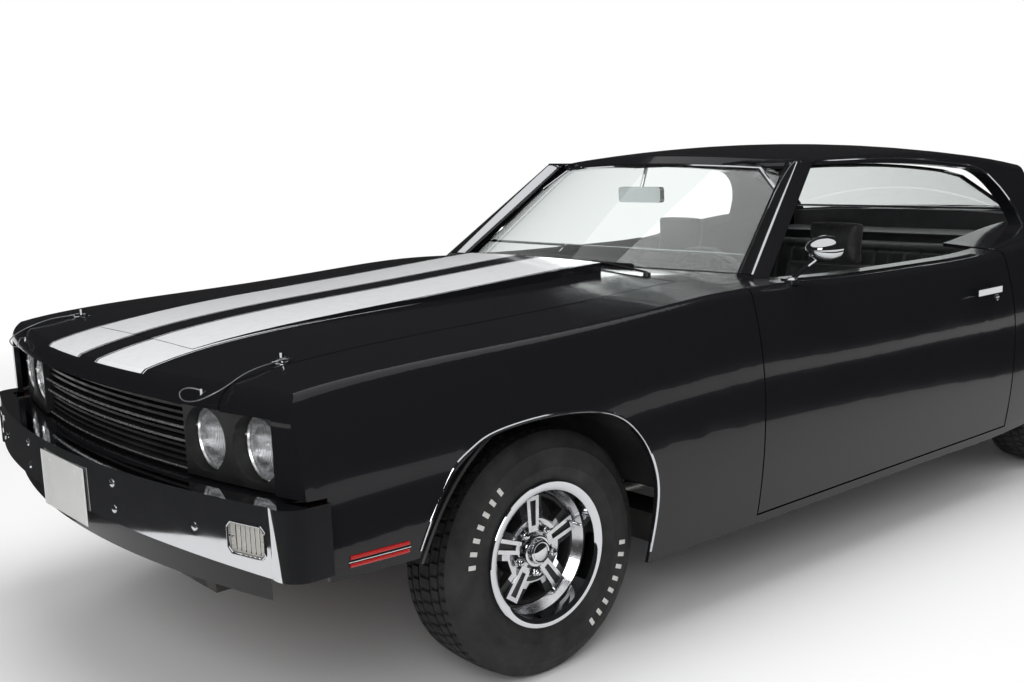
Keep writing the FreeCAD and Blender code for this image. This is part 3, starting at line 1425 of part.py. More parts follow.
def build_rear_seat():
    """The rear bench."""
    y, z = SEAT_STEP, SEAT_PAN
    side = [
        (y + 45, z),
        (y - 15, z + 40),
        (y + 30, z + 140, y - 22, z + 116),
        (y + 360, z + 120),
        (y + 400, z + 132),
        (y + 486, z + 460),
        (y + 566, z + 452, y + 530, z + 480),
        (y + 484, BOOT_FLOOR + SEAM),
        (y + 442, z),
    ]
    body = new_body("rear_seat")
    pad(body, "yz", side, -600, 600)
    return body


def build_interior_mirror(roof):
    """The mirror on its stalk under the windscreen header."""
    glass = rounded(
        block(-105, 105, DOOR_FRONT + 470, DOOR_FRONT + 492, 1150, 1206), 10, lambda edge: along(edge, Y_AXIS)
    )
    stalk = rod(7, (0, DOOR_FRONT + 481, 1195), (0, DOOR_FRONT + 540, ROOF))
    stalk = stalk.cut(moved(roof, 0, 0, -SEAM))
    stalk = min(stalk.Solids, key=lambda solid: solid.BoundBox.ZMin)
    return glass.fuse(stalk)


# ---------------------------------------------------------------- wheels
def build_tyre(label):
    """A tyre about the X axis: tread, shoulders, bulged sidewalls and beads on the rim's seats."""
    seat, outside = size("rim_radius") + SEAM, size("tyre_radius")
    wide = size("tyre_width") / 2
    lip = size("rim_width") / 2 - 0.5
    profile = [
        (wide - 29, outside - 5, 0, outside),
        (wide - 11, outside - 28, wide - 16, outside - 12),
        (lip, seat + 16, wide, seat + 70),
        (lip, seat),
        (lip - 23, seat),
        (lip - 23, seat + 18),
        (wide - 27, outside - 30, wide - 13, seat + 66),
        (27 - wide, outside - 30, 0, outside - 15),
        (23 - lip, seat + 18, 13 - wide, seat + 66),
        (23 - lip, seat),
        (-lip, seat),
        (-lip, seat + 16),
        (11 - wide, outside - 28, -wide, seat + 70),
        (29 - wide, outside - 5, 16 - wide, outside - 12),
    ]
    body = new_body(label)
    revolution(body, "xz", profile, "H_Axis")
    return body


def spun(points, degrees):
    """Points turned about the middle of their plane."""
    c, s = math.cos(math.radians(degrees)), math.sin(math.radians(degrees))
    return [(a * c - b * s, a * s + b * c) for a, b in points]


def build_rim(label):
    """A five-spoke wheel, its outer side towards +X: a rolled barrel and a dished disc with raised spokes."""
    seat, half, bore = size("rim_radius"), size("rim_width") / 2, size("bore_radius")
    barrel = [
        (-half - 8, seat + 15),
        (-half - 1, seat + 15),
        (-half, seat),
        (-half + 26, seat - 2),
        (-half + 38, seat - 26),
        (16, seat - 26),
        (44, seat - 2),
        (half, seat),
        (half + 1, seat + 15),
        (half + 8, seat + 15),
        (half + 8, seat + 8),
        (half + 2, seat - 6),
        (48, seat - 8),
        (18, seat - 32),
        (-half + 34, seat - 32),
        (-half + 22, seat - 8),
        (-half - 2, seat - 6),
        (-half - 8, seat + 8),
    ]
    web = [
        (-40, bore),
        (30, bore),
        (30, 0.0),
        (52, 0.0),
        (50, 24),
        (38, 30),
        (34, 62),
        (40, 84),
        (26, seat - 30),
        (10, seat - 30),
        (8, 96),
        (-10, 80),
        (-40, 76),
    ]
    body = new_body(label)
    revolution(body, "xz", barrel, "H_Axis")
    revolution(body, "xz", web, "H_Axis")
    window = [(-20, 88), (20, 88), (46, seat - 44), (0, seat - 38), (-46, seat - 44)]
    hole = pocket(body, "yz", spun(window, 36), -60, 60)
    polar_pattern(body, [hole], "X_Axis", 5)
    spoke = pad(body, "yz", [(-17, 50), (17, 50), (21, seat - 33), (-21, seat - 33)], 16, 42)
    groove = pocket(body, "yz", [(-7, 66), (7, 66), (10, seat - 44), (-10, seat - 44)], 34, 46)
    polar_pattern(body, [spoke, groove], "X_Axis", 5)
    lug = pad(body, "yz", spun([(-9, 51), (9, 51), (9, 69), (-9, 69)], 36), 20, 44)
    polar_pattern(body, [lug], "X_Axis", 5)
    return body


WHEELS = [  # name, which side, axle
    ("front_left", LEFT, FRONT_AXLE),
    ("front_right", RIGHT, FRONT_AXLE),
    ("rear_left", LEFT, REAR_AXLE),
    ("rear_right", RIGHT, REAR_AXLE),
]

# ---------------------------------------------------------------- small outside fittings
PIN_X, PIN_Y, PIN_TOP = 628.0, FRONT_AXLE - 606, 924.0
PIN_RADIUS = size("pin_radius")


def build_hood_pins():
    """Two bonnet pins standing on the radiator panel."""
    foot = LAMP_Z + 74
    pins = []
    for side, way in SIDES:
        pin = doc.addObject("Part::Cylinder", f"pin_{side}")
        bind(pin, "Radius", PIN_RADIUS)
        bind(pin, "Height", PIN_TOP - foot)
        place(pin, way * PIN_X, PIN_Y, foot)
        pins.append(pin)
    return compound("hood_pins", pins)


def hood_top(x, y):
    """Height of the skin at a place in plan."""
    line = Part.makeLine(Vector(x, y, 700), Vector(x, y, 1200))
    return line.common(skin).BoundBox.ZMax


def build_pin_clips():
    """Scuff plates round the bonnet pins, and the posts that the lanyards are tied to."""
    solids = []
    for x in (PIN_X, -PIN_X):
        top = hood_top(x, PIN_Y)
        disc = Part.makeCylinder(27, 12, Vector(x, PIN_Y, top - 6))
        disc = disc.cut(moved(skin, 0, 0, SEAM)).common(moved(skin, 0, 0, 2.4))
        disc = disc.cut(Part.makeCylinder(PIN_RADIUS + 5, 40, Vector(x, PIN_Y, top - 20)))
        solids.append(max(disc.Solids, key=lambda solid: solid.Volume))
        anchor = Vector(math.copysign(PIN_X - 35, x), PIN_Y - 190, top - 70)
        post = Part.makeCylinder(4, 30, anchor).cut(moved(skin, 0, 0, SEAM))
        solids.append(max(post.Solids, key=lambda solid: solid.BoundBox.ZMax))
    return Part.makeCompound(solids)


def build_door_mirror():
    """The left door's mirror on its bent stalk."""
    foot = (HALF - 92, DOOR_FRONT + 219, 930)
    head = rounded(
        block(HALF - 80, HALF + 46, DOOR_FRONT + 262, DOOR_FRONT + 304, 996, 1078), 18, lambda edge: True
    )
    bend = (HALF - 60, DOOR_FRONT + 250, 972)
    end = (HALF - 20, DOOR_FRONT + 280, 1004)
    stalk = fused(pipe([foot, bend, end], 7))
    mirror = head.fuse(stalk).cut(moved(skin, 0, 0, SEAM))
    return max(mirror.Solids, key=lambda solid: solid.Volume)


def build_door_handle():
    """The left door's pull handle with its push button."""
    y0, z = DOOR_REAR - 285, 802
    bar = block(HALF - 60, HALF - 6, y0, y0 + 165, z - 11, z + 11)
    bar = bar.cut(block(0, HALF - 20, y0 + 26, y0 + 128, z - 30, z + 30))
    return bar.cut(moved(skin, SEAM, 0, 0))


LANYARD = [  # sideways from the left pin, behind it, above the bonnet's skin at the pin
    (10, -20, 1.5),
    (26, -67, 1),
    (34, -121, -10),
    (50, -174, -30),
    (30, -221, -51),
    (-22, -227, -63),
    (-66, -229, -63),
    (-79, -224, -45),
    (-54, -209, -35),
    (-38, -193, -43),
]


def bent_path(points):
    """A wire of straight runs joined by arcs, each as large as its two runs allow."""
    edges, start, radii = [], points[0], []
    for before, corner, after in zip(points, points[1:], points[2:]):
        run_in, run_out = corner - before, after - corner
        back = 0.45 * min(run_in.Length, run_out.Length)
        first = corner - run_in * (back / run_in.Length)
        last = corner + run_out * (back / run_out.Length)
        half_turn = run_in.getAngle(run_out) / 2
        radii.append(back / math.tan(half_turn))
        inward = (first + last) * 0.5 - corner
        middle = corner + inward * (radii[-1] * (1 / math.cos(half_turn) - 1) / inward.Length)
        edges += [Part.LineSegment(start, first).toShape(), Part.Arc(first, middle, last).toShape()]
        start = last
    edges.append(Part.LineSegment(start, points[-1]).toShape())
    print("lanyard radii", [round(radius) for radius in radii])
    return Part.Wire(edges)


def build_lanyard():
    """The cable that holds the left bonnet pin's clip: from the clip down over the lip and back up to its anchor."""
    top = hood_top(PIN_X, PIN_Y)
    path = bent_path([Vector(PIN_X + x, PIN_Y + y, top + z) for x, y, z in LANYARD])
    radius = size("cable_size") / 2
    ring = Part.Wire(Part.Circle(path.Edges[0].valueAt(0), path.Edges[0].tangentAt(0), radius).toShape())
    cable = path.makePipeShell([ring], True, False)
    print("lanyard volume by its length", round(cable.Volume / (math.pi * radius**2 * path.Length), 4))
    return cable


# ---------------------------------------------------------------- assembly
roof = build_roof()
PAIRS = [  # name, builder of the left one
    ("front_fender", build_fender),
    ("quarter_panel", build_quarter),
    ("door", build_door),
    ("door_handle", build_door_handle),
    ("hood_lanyard", build_lanyard),
]
TWINS = [  # name, builder of the left one: both are one node
    ("front_wheelhouses", build_front_wheelhouse),
    ("rear_wheelhouses", build_rear_wheelhouse),
    ("rocker_sills", build_sills),
]
SINGLES = [
    ("trunk_lid", build_trunk),
    ("firewall_cowl", build_cowl),
    ("floor_pan", build_floor),
    ("tail_panel", build_tail_panel),
    ("rear_shelf", build_rear_shelf),
    ("front_bumper", build_front_bumper),
    ("turn_lamps", build_turn_lamps),
    ("rear_bumper", build_rear_bumper),
    ("tail_lamps", build_tail_lamps),
    ("front_valance", build_valance),
    ("headlamp_bezels", build_bezels),
    ("grille", build_grille),
    ("exhaust", build_exhaust),
    ("hood_pin_plates", build_pin_clips),
    ("door_mirror", build_door_mirror),
]
FEATURED = [  # builders of sub-parts that are document objects
    build_front_plate,
    build_radiator_support,
    build_frame,
    build_engine,
    build_driveline,
    build_rear_axle,
    build_fuel_tank,
    build_control_arms,
    build_column,
    build_steering_wheel,
    build_dashboard,
    build_rear_seat,
]
FEATURED_PAIRS = [("front_seat", build_front_seat), ("knuckle", build_knuckle)]
keep("roof", roof)
keep("windshield", window_glass(SCREEN_FOOT, SCREEN_UP, SCREEN_OUT, SCREEN_RADIUS, SCREEN_OUTLINE))
keep("rear_window", window_glass(BACK_FOOT, BACK_UP, BACK_OUT, BACK_RADIUS, BACK_OUTLINE))
keep("interior_mirror", build_interior_mirror(roof))
hood = build_hood()
pin_holes = [Part.makeCylinder(PIN_RADIUS + 5, 400, Vector(x, PIN_Y, 700)) for x in (PIN_X, -PIN_X)]
keep("hood", hood.cut(pin_holes))
for name, builder in SINGLES:
    keep(name, builder())
for name, builder in PAIRS:
    left = builder()
    for side, way in SIDES:
        keep(f"{name}_{side}", on_side(left, way))
for name, builder in TWINS:
    left = builder()
    keep(name, Part.makeCompound([left, mirrored(left)]))
for builder in FEATURED:
    sub_part(builder())
build_headlamps()
build_hood_pins()
for name, builder in FEATURED_PAIRS:
    left = sub_part(builder(f"{name}_left"))
    sub_part(mirror_object(f"{name}_right", left))
for name, side, axle in WHEELS:
    for wheel_part in (build_tyre(f"tyre_{name}"), build_rim(f"rim_{name}")):
        place(sub_part(wheel_part), side * WHEEL_X, axle, AXLE_Z, Rotation(Z_AXIS, 0 if side == LEFT else 180))

doc.recompute()
for thing in doc.Objects:
    if "Invalid" in thing.State or "Error" in thing.State:
        raise RuntimeError(f"{thing.Label} failed")
for part in nodes:
    if part.Shape.isNull() or not part.Shape.isValid():
        raise RuntimeError(f"{part.Label} has no sound shape")
os.makedirs("parts", exist_ok=True)
for part in nodes:
    part.Shape.exportStep(f"parts/{part.Label}.step")
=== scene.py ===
import json
import math
import bpy
from mathutils import Matrix, Vector
from mathutils.bvhtree import BVHTree


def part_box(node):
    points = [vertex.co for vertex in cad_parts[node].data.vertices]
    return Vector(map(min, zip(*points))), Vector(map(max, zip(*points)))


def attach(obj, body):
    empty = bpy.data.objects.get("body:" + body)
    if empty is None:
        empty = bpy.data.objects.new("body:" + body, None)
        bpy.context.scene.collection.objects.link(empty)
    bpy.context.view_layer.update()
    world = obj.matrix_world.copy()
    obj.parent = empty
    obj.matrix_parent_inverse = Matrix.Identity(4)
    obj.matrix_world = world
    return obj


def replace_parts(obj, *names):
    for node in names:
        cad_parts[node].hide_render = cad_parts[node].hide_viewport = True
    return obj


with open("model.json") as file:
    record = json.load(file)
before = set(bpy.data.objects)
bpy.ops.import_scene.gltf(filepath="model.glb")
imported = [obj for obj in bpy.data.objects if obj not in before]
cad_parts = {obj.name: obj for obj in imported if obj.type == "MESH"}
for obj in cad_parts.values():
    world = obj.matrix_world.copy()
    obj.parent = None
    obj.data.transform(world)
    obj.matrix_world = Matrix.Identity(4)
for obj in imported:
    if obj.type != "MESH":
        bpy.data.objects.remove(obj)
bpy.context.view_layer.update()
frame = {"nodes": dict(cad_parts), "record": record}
NODES = frame["nodes"]

FRONT_AXLE, REAR_AXLE, AXLE_Z, WHEEL_X = -1.5795, 1.2655, 0.33, 0.762
DOOR_FRONT, DOOR_REAR, NOSE = -0.7895, 0.6805, -2.5045
PIN_X, PIN_Y = 0.628, -2.1855
WHEEL = (WHEEL_X, 0, AXLE_Z)
SIDES = (("left", 1), ("right", -1))
CORNERS = (("front_left", 1, FRONT_AXLE), ("front_right", -1, FRONT_AXLE), ("rear_left", 1, REAR_AXLE),
    ("rear_right", -1, REAR_AXLE))
CAMERA_ANGLES, CAMERA_PLACE, CAMERA_LENS = (50.123, 9.424, -2.188), (3.0793, -3.53053, 1.38568), 41.85
LAMPS_X, LAMP_Z = (0.556, 0.738, -0.556, -0.738), 0.738
SEAT_X, SEAT_RAKE, STITCH = 0.395, 18.2, 0.006
ARCH_GROWTH = 1.007  # the mouldings stand just outside the openings
WIDEST = 0.9518  # no moulding on the sides goes further out
BLACK = (0.009, 0.009, 0.0105)
POCKET_TOP, POCKETS, RIM_MIDDLE = 0.0352, (0.036, 0.1505), 0.01  # out along the axle, round it, and out again
WIDE_STRIPE, PINSTRIPES = (0.066, 0.315), ((0.0545, 0.058), (0.323, 0.3265))  # from the middle line
TYRE_STEPS, TREAD_RADIUS, TREAD_HALF, SIPE_STEP = 180, 0.3235, 0.079, 0.036
CLOTH_FRAMES, CLOTH_PRESSURE, PAD_VOXEL = 20, 4, 0.0065
AXES = {"X": Vector((1, 0, 0)), "Y": Vector((0, 1, 0)), "Z": Vector((0, 0, 1))}
MIRROR, STILL = Matrix.Scale(-1, 4, (1, 0, 0)), Matrix.Identity(4)
TURNS = {"X": (0, math.pi / 2, 0), "Y": (-math.pi / 2, 0, 0), "Z": (0, 0, 0)}


# ---- camera
def put(name, data):
    """An object of this data, in the scene."""
    made = bpy.data.objects.new(name, data)
    bpy.context.scene.collection.objects.link(made)
    return made


def set_camera():
    """Stands the camera ahead of the car's left front corner, a little above the bonnet."""
    turn, rise, roll = (math.radians(value) for value in CAMERA_ANGLES)
    back = Vector((math.sin(turn) * math.cos(rise), -math.cos(turn) * math.cos(rise), math.sin(rise)))
    level = Vector((math.cos(turn), math.sin(turn), 0))
    upright = back.cross(level)
    right = level * math.cos(roll) + upright * math.sin(roll)
    up = upright * math.cos(roll) - level * math.sin(roll)
    camera = put("camera", bpy.data.cameras.new("camera"))
    camera.matrix_world = Matrix([(*row, place) for *row, place in zip(right, up, back, CAMERA_PLACE)]
        + [(0, 0, 0, 1)])
    camera.data.lens = CAMERA_LENS
    bpy.context.scene.camera = camera


# ---- ways of working
def deselect():
    """Leaves edit mode and selects nothing."""
    if bpy.context.object and bpy.context.object.mode != "OBJECT":
        bpy.ops.object.mode_set(mode="OBJECT")
    bpy.ops.object.select_all(action="DESELECT")


def use(*pieces):
    """Selects these pieces only; the first is the active one."""
    deselect()
    for piece in pieces:
        piece.select_set(True)
    bpy.context.view_layer.objects.active = pieces[0]


def settle(piece):
    """Puts a piece's place, turn and size into its mesh."""
    use(piece)
    bpy.ops.object.transform_apply(location=True, rotation=True, scale=True)
    return piece


def modify(piece, kind, **settings):
    """Adds a modifier and applies it."""
    use(piece)
    bpy.ops.object.modifier_add(type=kind)
    modifier = piece.modifiers[-1]
    for key, value in settings.items():
        setattr(modifier, key, value)
    bpy.ops.object.modifier_apply(modifier=modifier.name)
    return piece


def edited(piece, *works):
    """Does works on the whole of a piece in edit mode; each is an operator and its settings."""
    use(piece)
    bpy.ops.object.mode_set(mode="EDIT")
    bpy.ops.mesh.select_all(action="SELECT")
    for operator, settings in works:
        operator(**settings)
    bpy.ops.object.mode_set(mode="OBJECT")
    return piece


def tidy_faces(piece):
    """Merges doubles and turns every face outwards."""
    return edited(piece, (bpy.ops.mesh.remove_doubles, {"threshold": 0.00005}),
        (bpy.ops.mesh.normals_make_consistent, {"inside": False}))


def bevelled(piece, width, segments):
    """Rounds every edge."""
    return edited(piece, (bpy.ops.mesh.bevel, {"offset": width, "segments": segments, "affect": "EDGES"}))


def finish(pieces, name, material, body="body", both=False, smooth=35):
    """Joins pieces, with their mirror image if asked; the result gets its name, material and body."""
    piece = join(pieces) if isinstance(pieces, list) else pieces
    if both:
        piece = join([piece, twin(settle(piece), MIRROR)])
    settle(piece)
    piece.name = name
    piece.data.name = name
    piece.data.materials.clear()
    piece.data.materials.append(material)
    use(piece)
    bpy.ops.object.shade_smooth_by_angle(angle=math.radians(smooth))
    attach(piece, body)
    return piece


def join(pieces):
    """Joins pieces into the first."""
    if len(pieces) > 1:
        use(*pieces)
        bpy.ops.object.join()
    return pieces[0]


def twin(piece, move):
    """A copy with its own mesh, moved as asked."""
    other = piece.copy()
    other.data = piece.data.copy()
    other.parent = None
    bpy.context.scene.collection.objects.link(other)
    other.data.transform(move)
    if move.determinant() < 0:
        other.data.flip_normals()
    return other


def turned_copies(form, centre, axis, angles):
    """Copies of a form turned about a centre, in degrees; the form itself goes."""
    place = Matrix.Translation(centre)
    copies = [twin(form, place @ Matrix.Rotation(math.radians(angle), 4, axis) @ place.inverted())
        for angle in angles]
    bpy.data.objects.remove(form)
    return copies


def on_doors(form, name, material):
    """One copy of a form on each door, the right one mirrored."""
    settle(form)
    for side, way in SIDES:
        finish(twin(form, MIRROR if way < 0 else STILL), f"{name}_{side}", material, f"door_{side}")
    bpy.data.objects.remove(form)


def block(low, high, bevel, segments=2, turn=(0, 0, 0)):
    """A box between two corners with its edges rounded; turn is about its own middle, in radians."""
    low, high = Vector(low), Vector(high)
    bpy.ops.mesh.primitive_cube_add(size=1, location=(low + high) / 2, rotation=turn, scale=high - low)
    return bevelled(settle(bpy.context.object), bevel, segments)


def turned(rings, centre, axis, segments=48):
    """A turned piece: rings are (along the axis, radius) in millimetres; radius 0 closes an end."""
    rings = [(along / 1000, radius / 1000) for along, radius in rings]
    centre, way = Vector(centre), AXES[axis]
    pole = rings[0][1] == 0
    shown = rings[1:] if pole else rings
    bpy.ops.mesh.primitive_circle_add(vertices=segments, radius=shown[0][1], fill_type="NOTHING",
        location=centre + way * shown[0][0], rotation=TURNS[axis])
    piece = settle(bpy.context.object)
    use(piece)
    bpy.ops.object.mode_set(mode="EDIT")
    bpy.ops.mesh.select_all(action="SELECT")
    for (along, radius), (next_along, next_radius) in zip(shown, shown[1:]):
        bpy.ops.mesh.extrude_edges_move(TRANSFORM_OT_translate={"value": way * (next_along - along)})
        if next_radius == 0:
            bpy.ops.mesh.merge(type="CENTER")
            break
        scale = next_radius / radius
        bpy.ops.transform.resize(value=(scale, scale, scale), center_override=centre + way * next_along)
    if pole:
        bpy.ops.object.mode_set(mode="OBJECT")
        for vertex in piece.data.vertices:
            vertex.select = vertex.index < segments
        for edge in piece.data.edges:
            edge.select = all(index < segments for index in edge.vertices)
        bpy.ops.object.mode_set(mode="EDIT")
        bpy.ops.mesh.select_mode(type="VERT")
        bpy.ops.mesh.extrude_edges_move(TRANSFORM_OT_translate={"value": way * (rings[0][0] - shown[0][0])})
        bpy.ops.mesh.merge(type="CENTER")
    bpy.ops.mesh.select_mode(type="VERT")
    bpy.ops.object.mode_set(mode="OBJECT")
    return tidy_faces(piece)


def wire(name, points, radius, closed=False, smooth=False, sides=2, fineness=4):
    """A round line through points, still a curve."""
    line = bpy.data.curves.new(name, "CURVE")
    line.dimensions = "3D"
    spline = line.splines.new("NURBS" if smooth else "POLY")
    spline.points.add(len(points) - 1)
    for point, place in zip(spline.points, points):
        point.co = (*place, 1)
    if smooth:
        spline.order_u = 3
        spline.use_endpoint_u = not closed
    spline.use_cyclic_u = closed
    line.bevel_depth = radius
    line.bevel_resolution = sides
    line.use_fill_caps = not closed
    line.resolution_u = fineness
    return put(name, line)


def tube(points, radius, **form):
    """A round moulding or pipe through points, as a mesh."""
    use(wire("line", points, radius, **form))
    bpy.ops.object.convert(target="MESH")
    return tidy_faces(bpy.context.object)


def tree_of(*names):
    """What rays can be sent at: these CAD nodes together."""
    points, faces = [], []
    for name in names:
        mesh = NODES[name].data
        first = len(points)
        points += [vertex.co.copy() for vertex in mesh.vertices]
        faces += [[first + index for index in polygon.vertices] for polygon in mesh.polygons]
    return BVHTree.FromPolygons(points, faces)


def hit(tree, start, way):
    """Where a ray first meets the surface, or nothing."""
    return tree.ray_cast(Vector(start), Vector(way).normalized())[0]


# where a ray from ahead, behind, the cabin, the left or above first meets a surface
def from_ahead(tree, x, z):
    return hit(tree, (x, -3, z), (0, 1, 0))


def from_behind(tree, x, z):
    return hit(tree, (x, 3, z), (0, -1, 0))


def from_cabin(tree, x, z):
    return hit(tree, (x, 0.3, z), (0, -1, 0))


def from_left(tree, y, z):
    return hit(tree, (1.2, y, z), (-1, 0, 0))


def from_above(tree, x, y, z=1.6):
    return hit(tree, (x, y, z), (0, 0, -1))


def on_side(tree, points, lift=0):
    """Points (along, up) on the left side of the body, lifted outwards."""
    return [place + Vector((lift, 0, 0)) for place in (from_left(tree, y, z) for y, z in points) if place]


def on_top(tree, points):
    """Points (across, along) on the top of the body."""
    return [place for place in (from_above(tree, x, y) for x, y in points) if place]


def steps(first, last, count):
    """Evenly spaced numbers, both ends included."""
    return [first + (last - first) * index / (count - 1) for index in range(count)]


# ---- finishes
class Finish:
    """A material made of nodes round one Principled shader, with patterns on Object coordinates."""

    def __init__(self, name, colour, metallic, roughness, **sockets):
        self.material = bpy.data.materials.new(name)
        self.material.use_nodes = True
        self.tree = self.material.node_tree
        self.shader = self.tree.nodes["Principled BSDF"]
        self.shader.inputs["Base Color"].default_value = (*colour, 1)
        self.shader.inputs["Metallic"].default_value = metallic
        self.shader.inputs["Roughness"].default_value = roughness
        for socket, value in sockets.items():
            self.shader.inputs[socket.replace("_", " ").title().replace("Ior", "IOR")].default_value = value
        self.place = self.node("ShaderNodeTexCoord").outputs["Object"]
        self.height = None

    def node(self, kind, **settings):
        made = self.tree.nodes.new(kind)
        for key, value in settings.items():
            if key.startswith("in_"):
                made.inputs[key[3:].replace("_", " ").title()].default_value = value
            else:
                setattr(made, key, value)
        return made

    def link(self, source, target):
        self.tree.links.new(source, target)

    def stretched(self, scale):
        """The place stretched along its axes."""
        mapping = self.node("ShaderNodeMapping")
        mapping.inputs["Scale"].default_value = scale
        self.link(self.place, mapping.inputs["Vector"])
        return mapping.outputs["Vector"]

    def pattern(self, kind, output, place, **settings):
        """A pattern node on the object's place, or on a stretched one."""
        made = self.node(kind, **settings)
        self.link(place or self.place, made.inputs["Vector"])
        return made.outputs[output]

    def noise(self, scale, detail=4, rough=0.55, place=None):
        return self.pattern("ShaderNodeTexNoise", "Fac", place, in_scale=scale, in_detail=detail,
            in_roughness=rough)

    def cells(self, scale, feature="DISTANCE_TO_EDGE"):
        return self.pattern("ShaderNodeTexVoronoi", "Distance", None, feature=feature, in_scale=scale)

    def ribs(self, scale, direction):
        return self.pattern("ShaderNodeTexWave", "Fac", None, bands_direction=direction, in_scale=scale,
            in_distortion=0)

    def ramp(self, factor, *stops):
        """Colours or greys at places from 0 to 1."""
        made = self.node("ShaderNodeValToRGB")
        elements = made.color_ramp.elements
        while len(elements) < len(stops):
            elements.new(0.5)
        for element, (place, value) in zip(elements, stops):
            element.position = place
            element.color = (*value, 1) if isinstance(value, tuple) else (value, value, value, 1)
        self.link(factor, made.inputs["Fac"])
        return made.outputs["Color"]

    def maths(self, operation, *values):
        made = self.node("ShaderNodeMath", operation=operation)
        for socket, value in zip(made.inputs, values):
            if isinstance(value, (int, float)):
                socket.default_value = value
            else:
                self.link(value, socket)
        return made.outputs[0]

    def parts(self, vector=None):
        made = self.node("ShaderNodeSeparateXYZ")
        self.link(vector or self.place, made.inputs[0])
        return made.outputs

    def colour(self, source):
        self.link(source, self.shader.inputs["Base Color"])
        return self

    def mixed(self, factor, first, second):
        """One colour where the factor is 0 and another where it is 1."""
        made = self.node("ShaderNodeMix", data_type="RGBA")
        for socket, value in zip((made.inputs[6], made.inputs[7]), (first, second)):
            if isinstance(value, tuple):
                socket.default_value = (*value, 1)
            else:
                self.link(value, socket)
        self.link(factor, made.inputs[0])
        return made.outputs[2]

    def rough(self, source):
        self.link(source, self.shader.inputs["Roughness"])
        return self

    def metal(self, source):
        self.link(source, self.shader.inputs["Metallic"])
        return self

    def bump(self, height, strength, depth):
        """Raises the surface by a pattern, over any earlier one."""
        made = self.node("ShaderNodeBump", in_strength=strength, in_distance=depth)
        self.link(height, made.inputs["Height"])
        if self.height:
            self.link(self.height, made.inputs["Normal"])
        self.height = made.outputs["Normal"]
        self.link(self.height, self.shader.inputs["Normal"])
        return self


def plain_paint(name, colour, low, high, coat=0):
    """Paint with a slightly uneven gloss and a fine skin."""
    paint = Finish(name, colour, 0.0, high, coat_weight=coat * 0.36, coat_roughness=0.02,
        specular_ior_level=0.12)
    paint.rough(paint.ramp(paint.noise(9, 6), (0.3, low), (0.75, high)))
    return paint.bump(paint.noise(420, 2), 0.06, 0.0004)


def band(paint, distance, low, high):
    """1 where a distance lies between two others."""
    over = paint.maths("GREATER_THAN", distance, low)
    return paint.maths("MULTIPLY", over, paint.maths("LESS_THAN", distance, high))


def striped_paint(name, start):
    """Black paint with two wide white stripes and their pinstripes, on faces that look upwards."""
    paint = plain_paint(name, BLACK, 0.1, 0.16, 1)
    x, _, z = paint.parts()
    across = paint.maths("ABSOLUTE", x)
    marks = band(paint, across, *WIDE_STRIPE)
    for pinstripe in PINSTRIPES:
        marks = paint.maths("ADD", marks, band(paint, across, *pinstripe))
    facing = paint.node("ShaderNodeNewGeometry").outputs["Normal"]
    upward = paint.maths("GREATER_THAN", paint.parts(facing)[2], 0.55)
    high = paint.maths("GREATER_THAN", z, start)
    marks = paint.maths("MULTIPLY", marks, paint.maths("MULTIPLY", upward, high))
    white = paint.ramp(paint.noise(40, 5), (0.3, (0.74, 0.75, 0.76)), (0.7, (0.8, 0.8, 0.81)))
    return paint.colour(paint.mixed(marks, BLACK, white)).material


def chrome_finish(name, colour, low=0.03, high=0.1):
    """Plated metal with faint wiping marks."""
    chrome = Finish(name, colour, 1, low)
    chrome.rough(chrome.ramp(chrome.noise(14, 8, 0.65), (0.35, low), (0.8, high)))
    return chrome.bump(chrome.noise(60, 3), 0.02, 0.0006).material


def leather_finish(name, colour, pale):
    """Grained vinyl with worn, paler patches."""
    vinyl = Finish(name, colour, 0.0, 0.5, sheen_weight=0.15, specular_ior_level=0.4)
    vinyl.colour(vinyl.ramp(vinyl.noise(16, 6), (0.35, colour), (0.75, pale)))
    vinyl.rough(vinyl.ramp(vinyl.noise(30, 5), (0.3, 0.42), (0.75, 0.62)))
    vinyl.bump(vinyl.cells(420), 0.5, 0.0007)
    return vinyl.bump(vinyl.noise(1100, 2), 0.3, 0.0003).material


def plastic_finish(name, colour, pale, grain=600):
    """Moulded plastic with a fine grain."""
    plastic = Finish(name, colour, 0.0, 0.5, specular_ior_level=0.4)
    plastic.colour(plastic.ramp(plastic.noise(12, 4), (0.3, colour), (0.8, pale)))
    plastic.rough(plastic.ramp(plastic.noise(22, 5), (0.3, 0.38), (0.75, 0.58)))
    return plastic.bump(plastic.cells(grain, "F1"), 0.35, 0.0004).material


def metal_finish(name, colour, pale, low, high, stretch=(1, 1, 1), bump=0.15):
    """Bare or cast metal: uneven colour, gloss and skin."""
    metal = Finish(name, colour, 0.85, high)
    place = metal.stretched(stretch)
    metal.colour(metal.ramp(metal.noise(18, 8, 0.6, place), (0.3, colour), (0.75, pale)))
    metal.rough(metal.ramp(metal.noise(36, 6, 0.6, place), (0.3, low), (0.75, high)))
    return metal.bump(metal.noise(160, 5, 0.6, place), bump, 0.0012).material


def satin_finish(name, colour, pale, low=0.32, high=0.55):
    """Satin paint with patches of dust."""
    satin = Finish(name, colour, 0, high)
    satin.colour(satin.ramp(satin.noise(7, 8, 0.65), (0.4, colour), (0.85, pale)))
    satin.rough(satin.ramp(satin.noise(15, 5), (0.3, low), (0.75, high)))
    return satin.bump(satin.noise(350, 3), 0.12, 0.0005).material


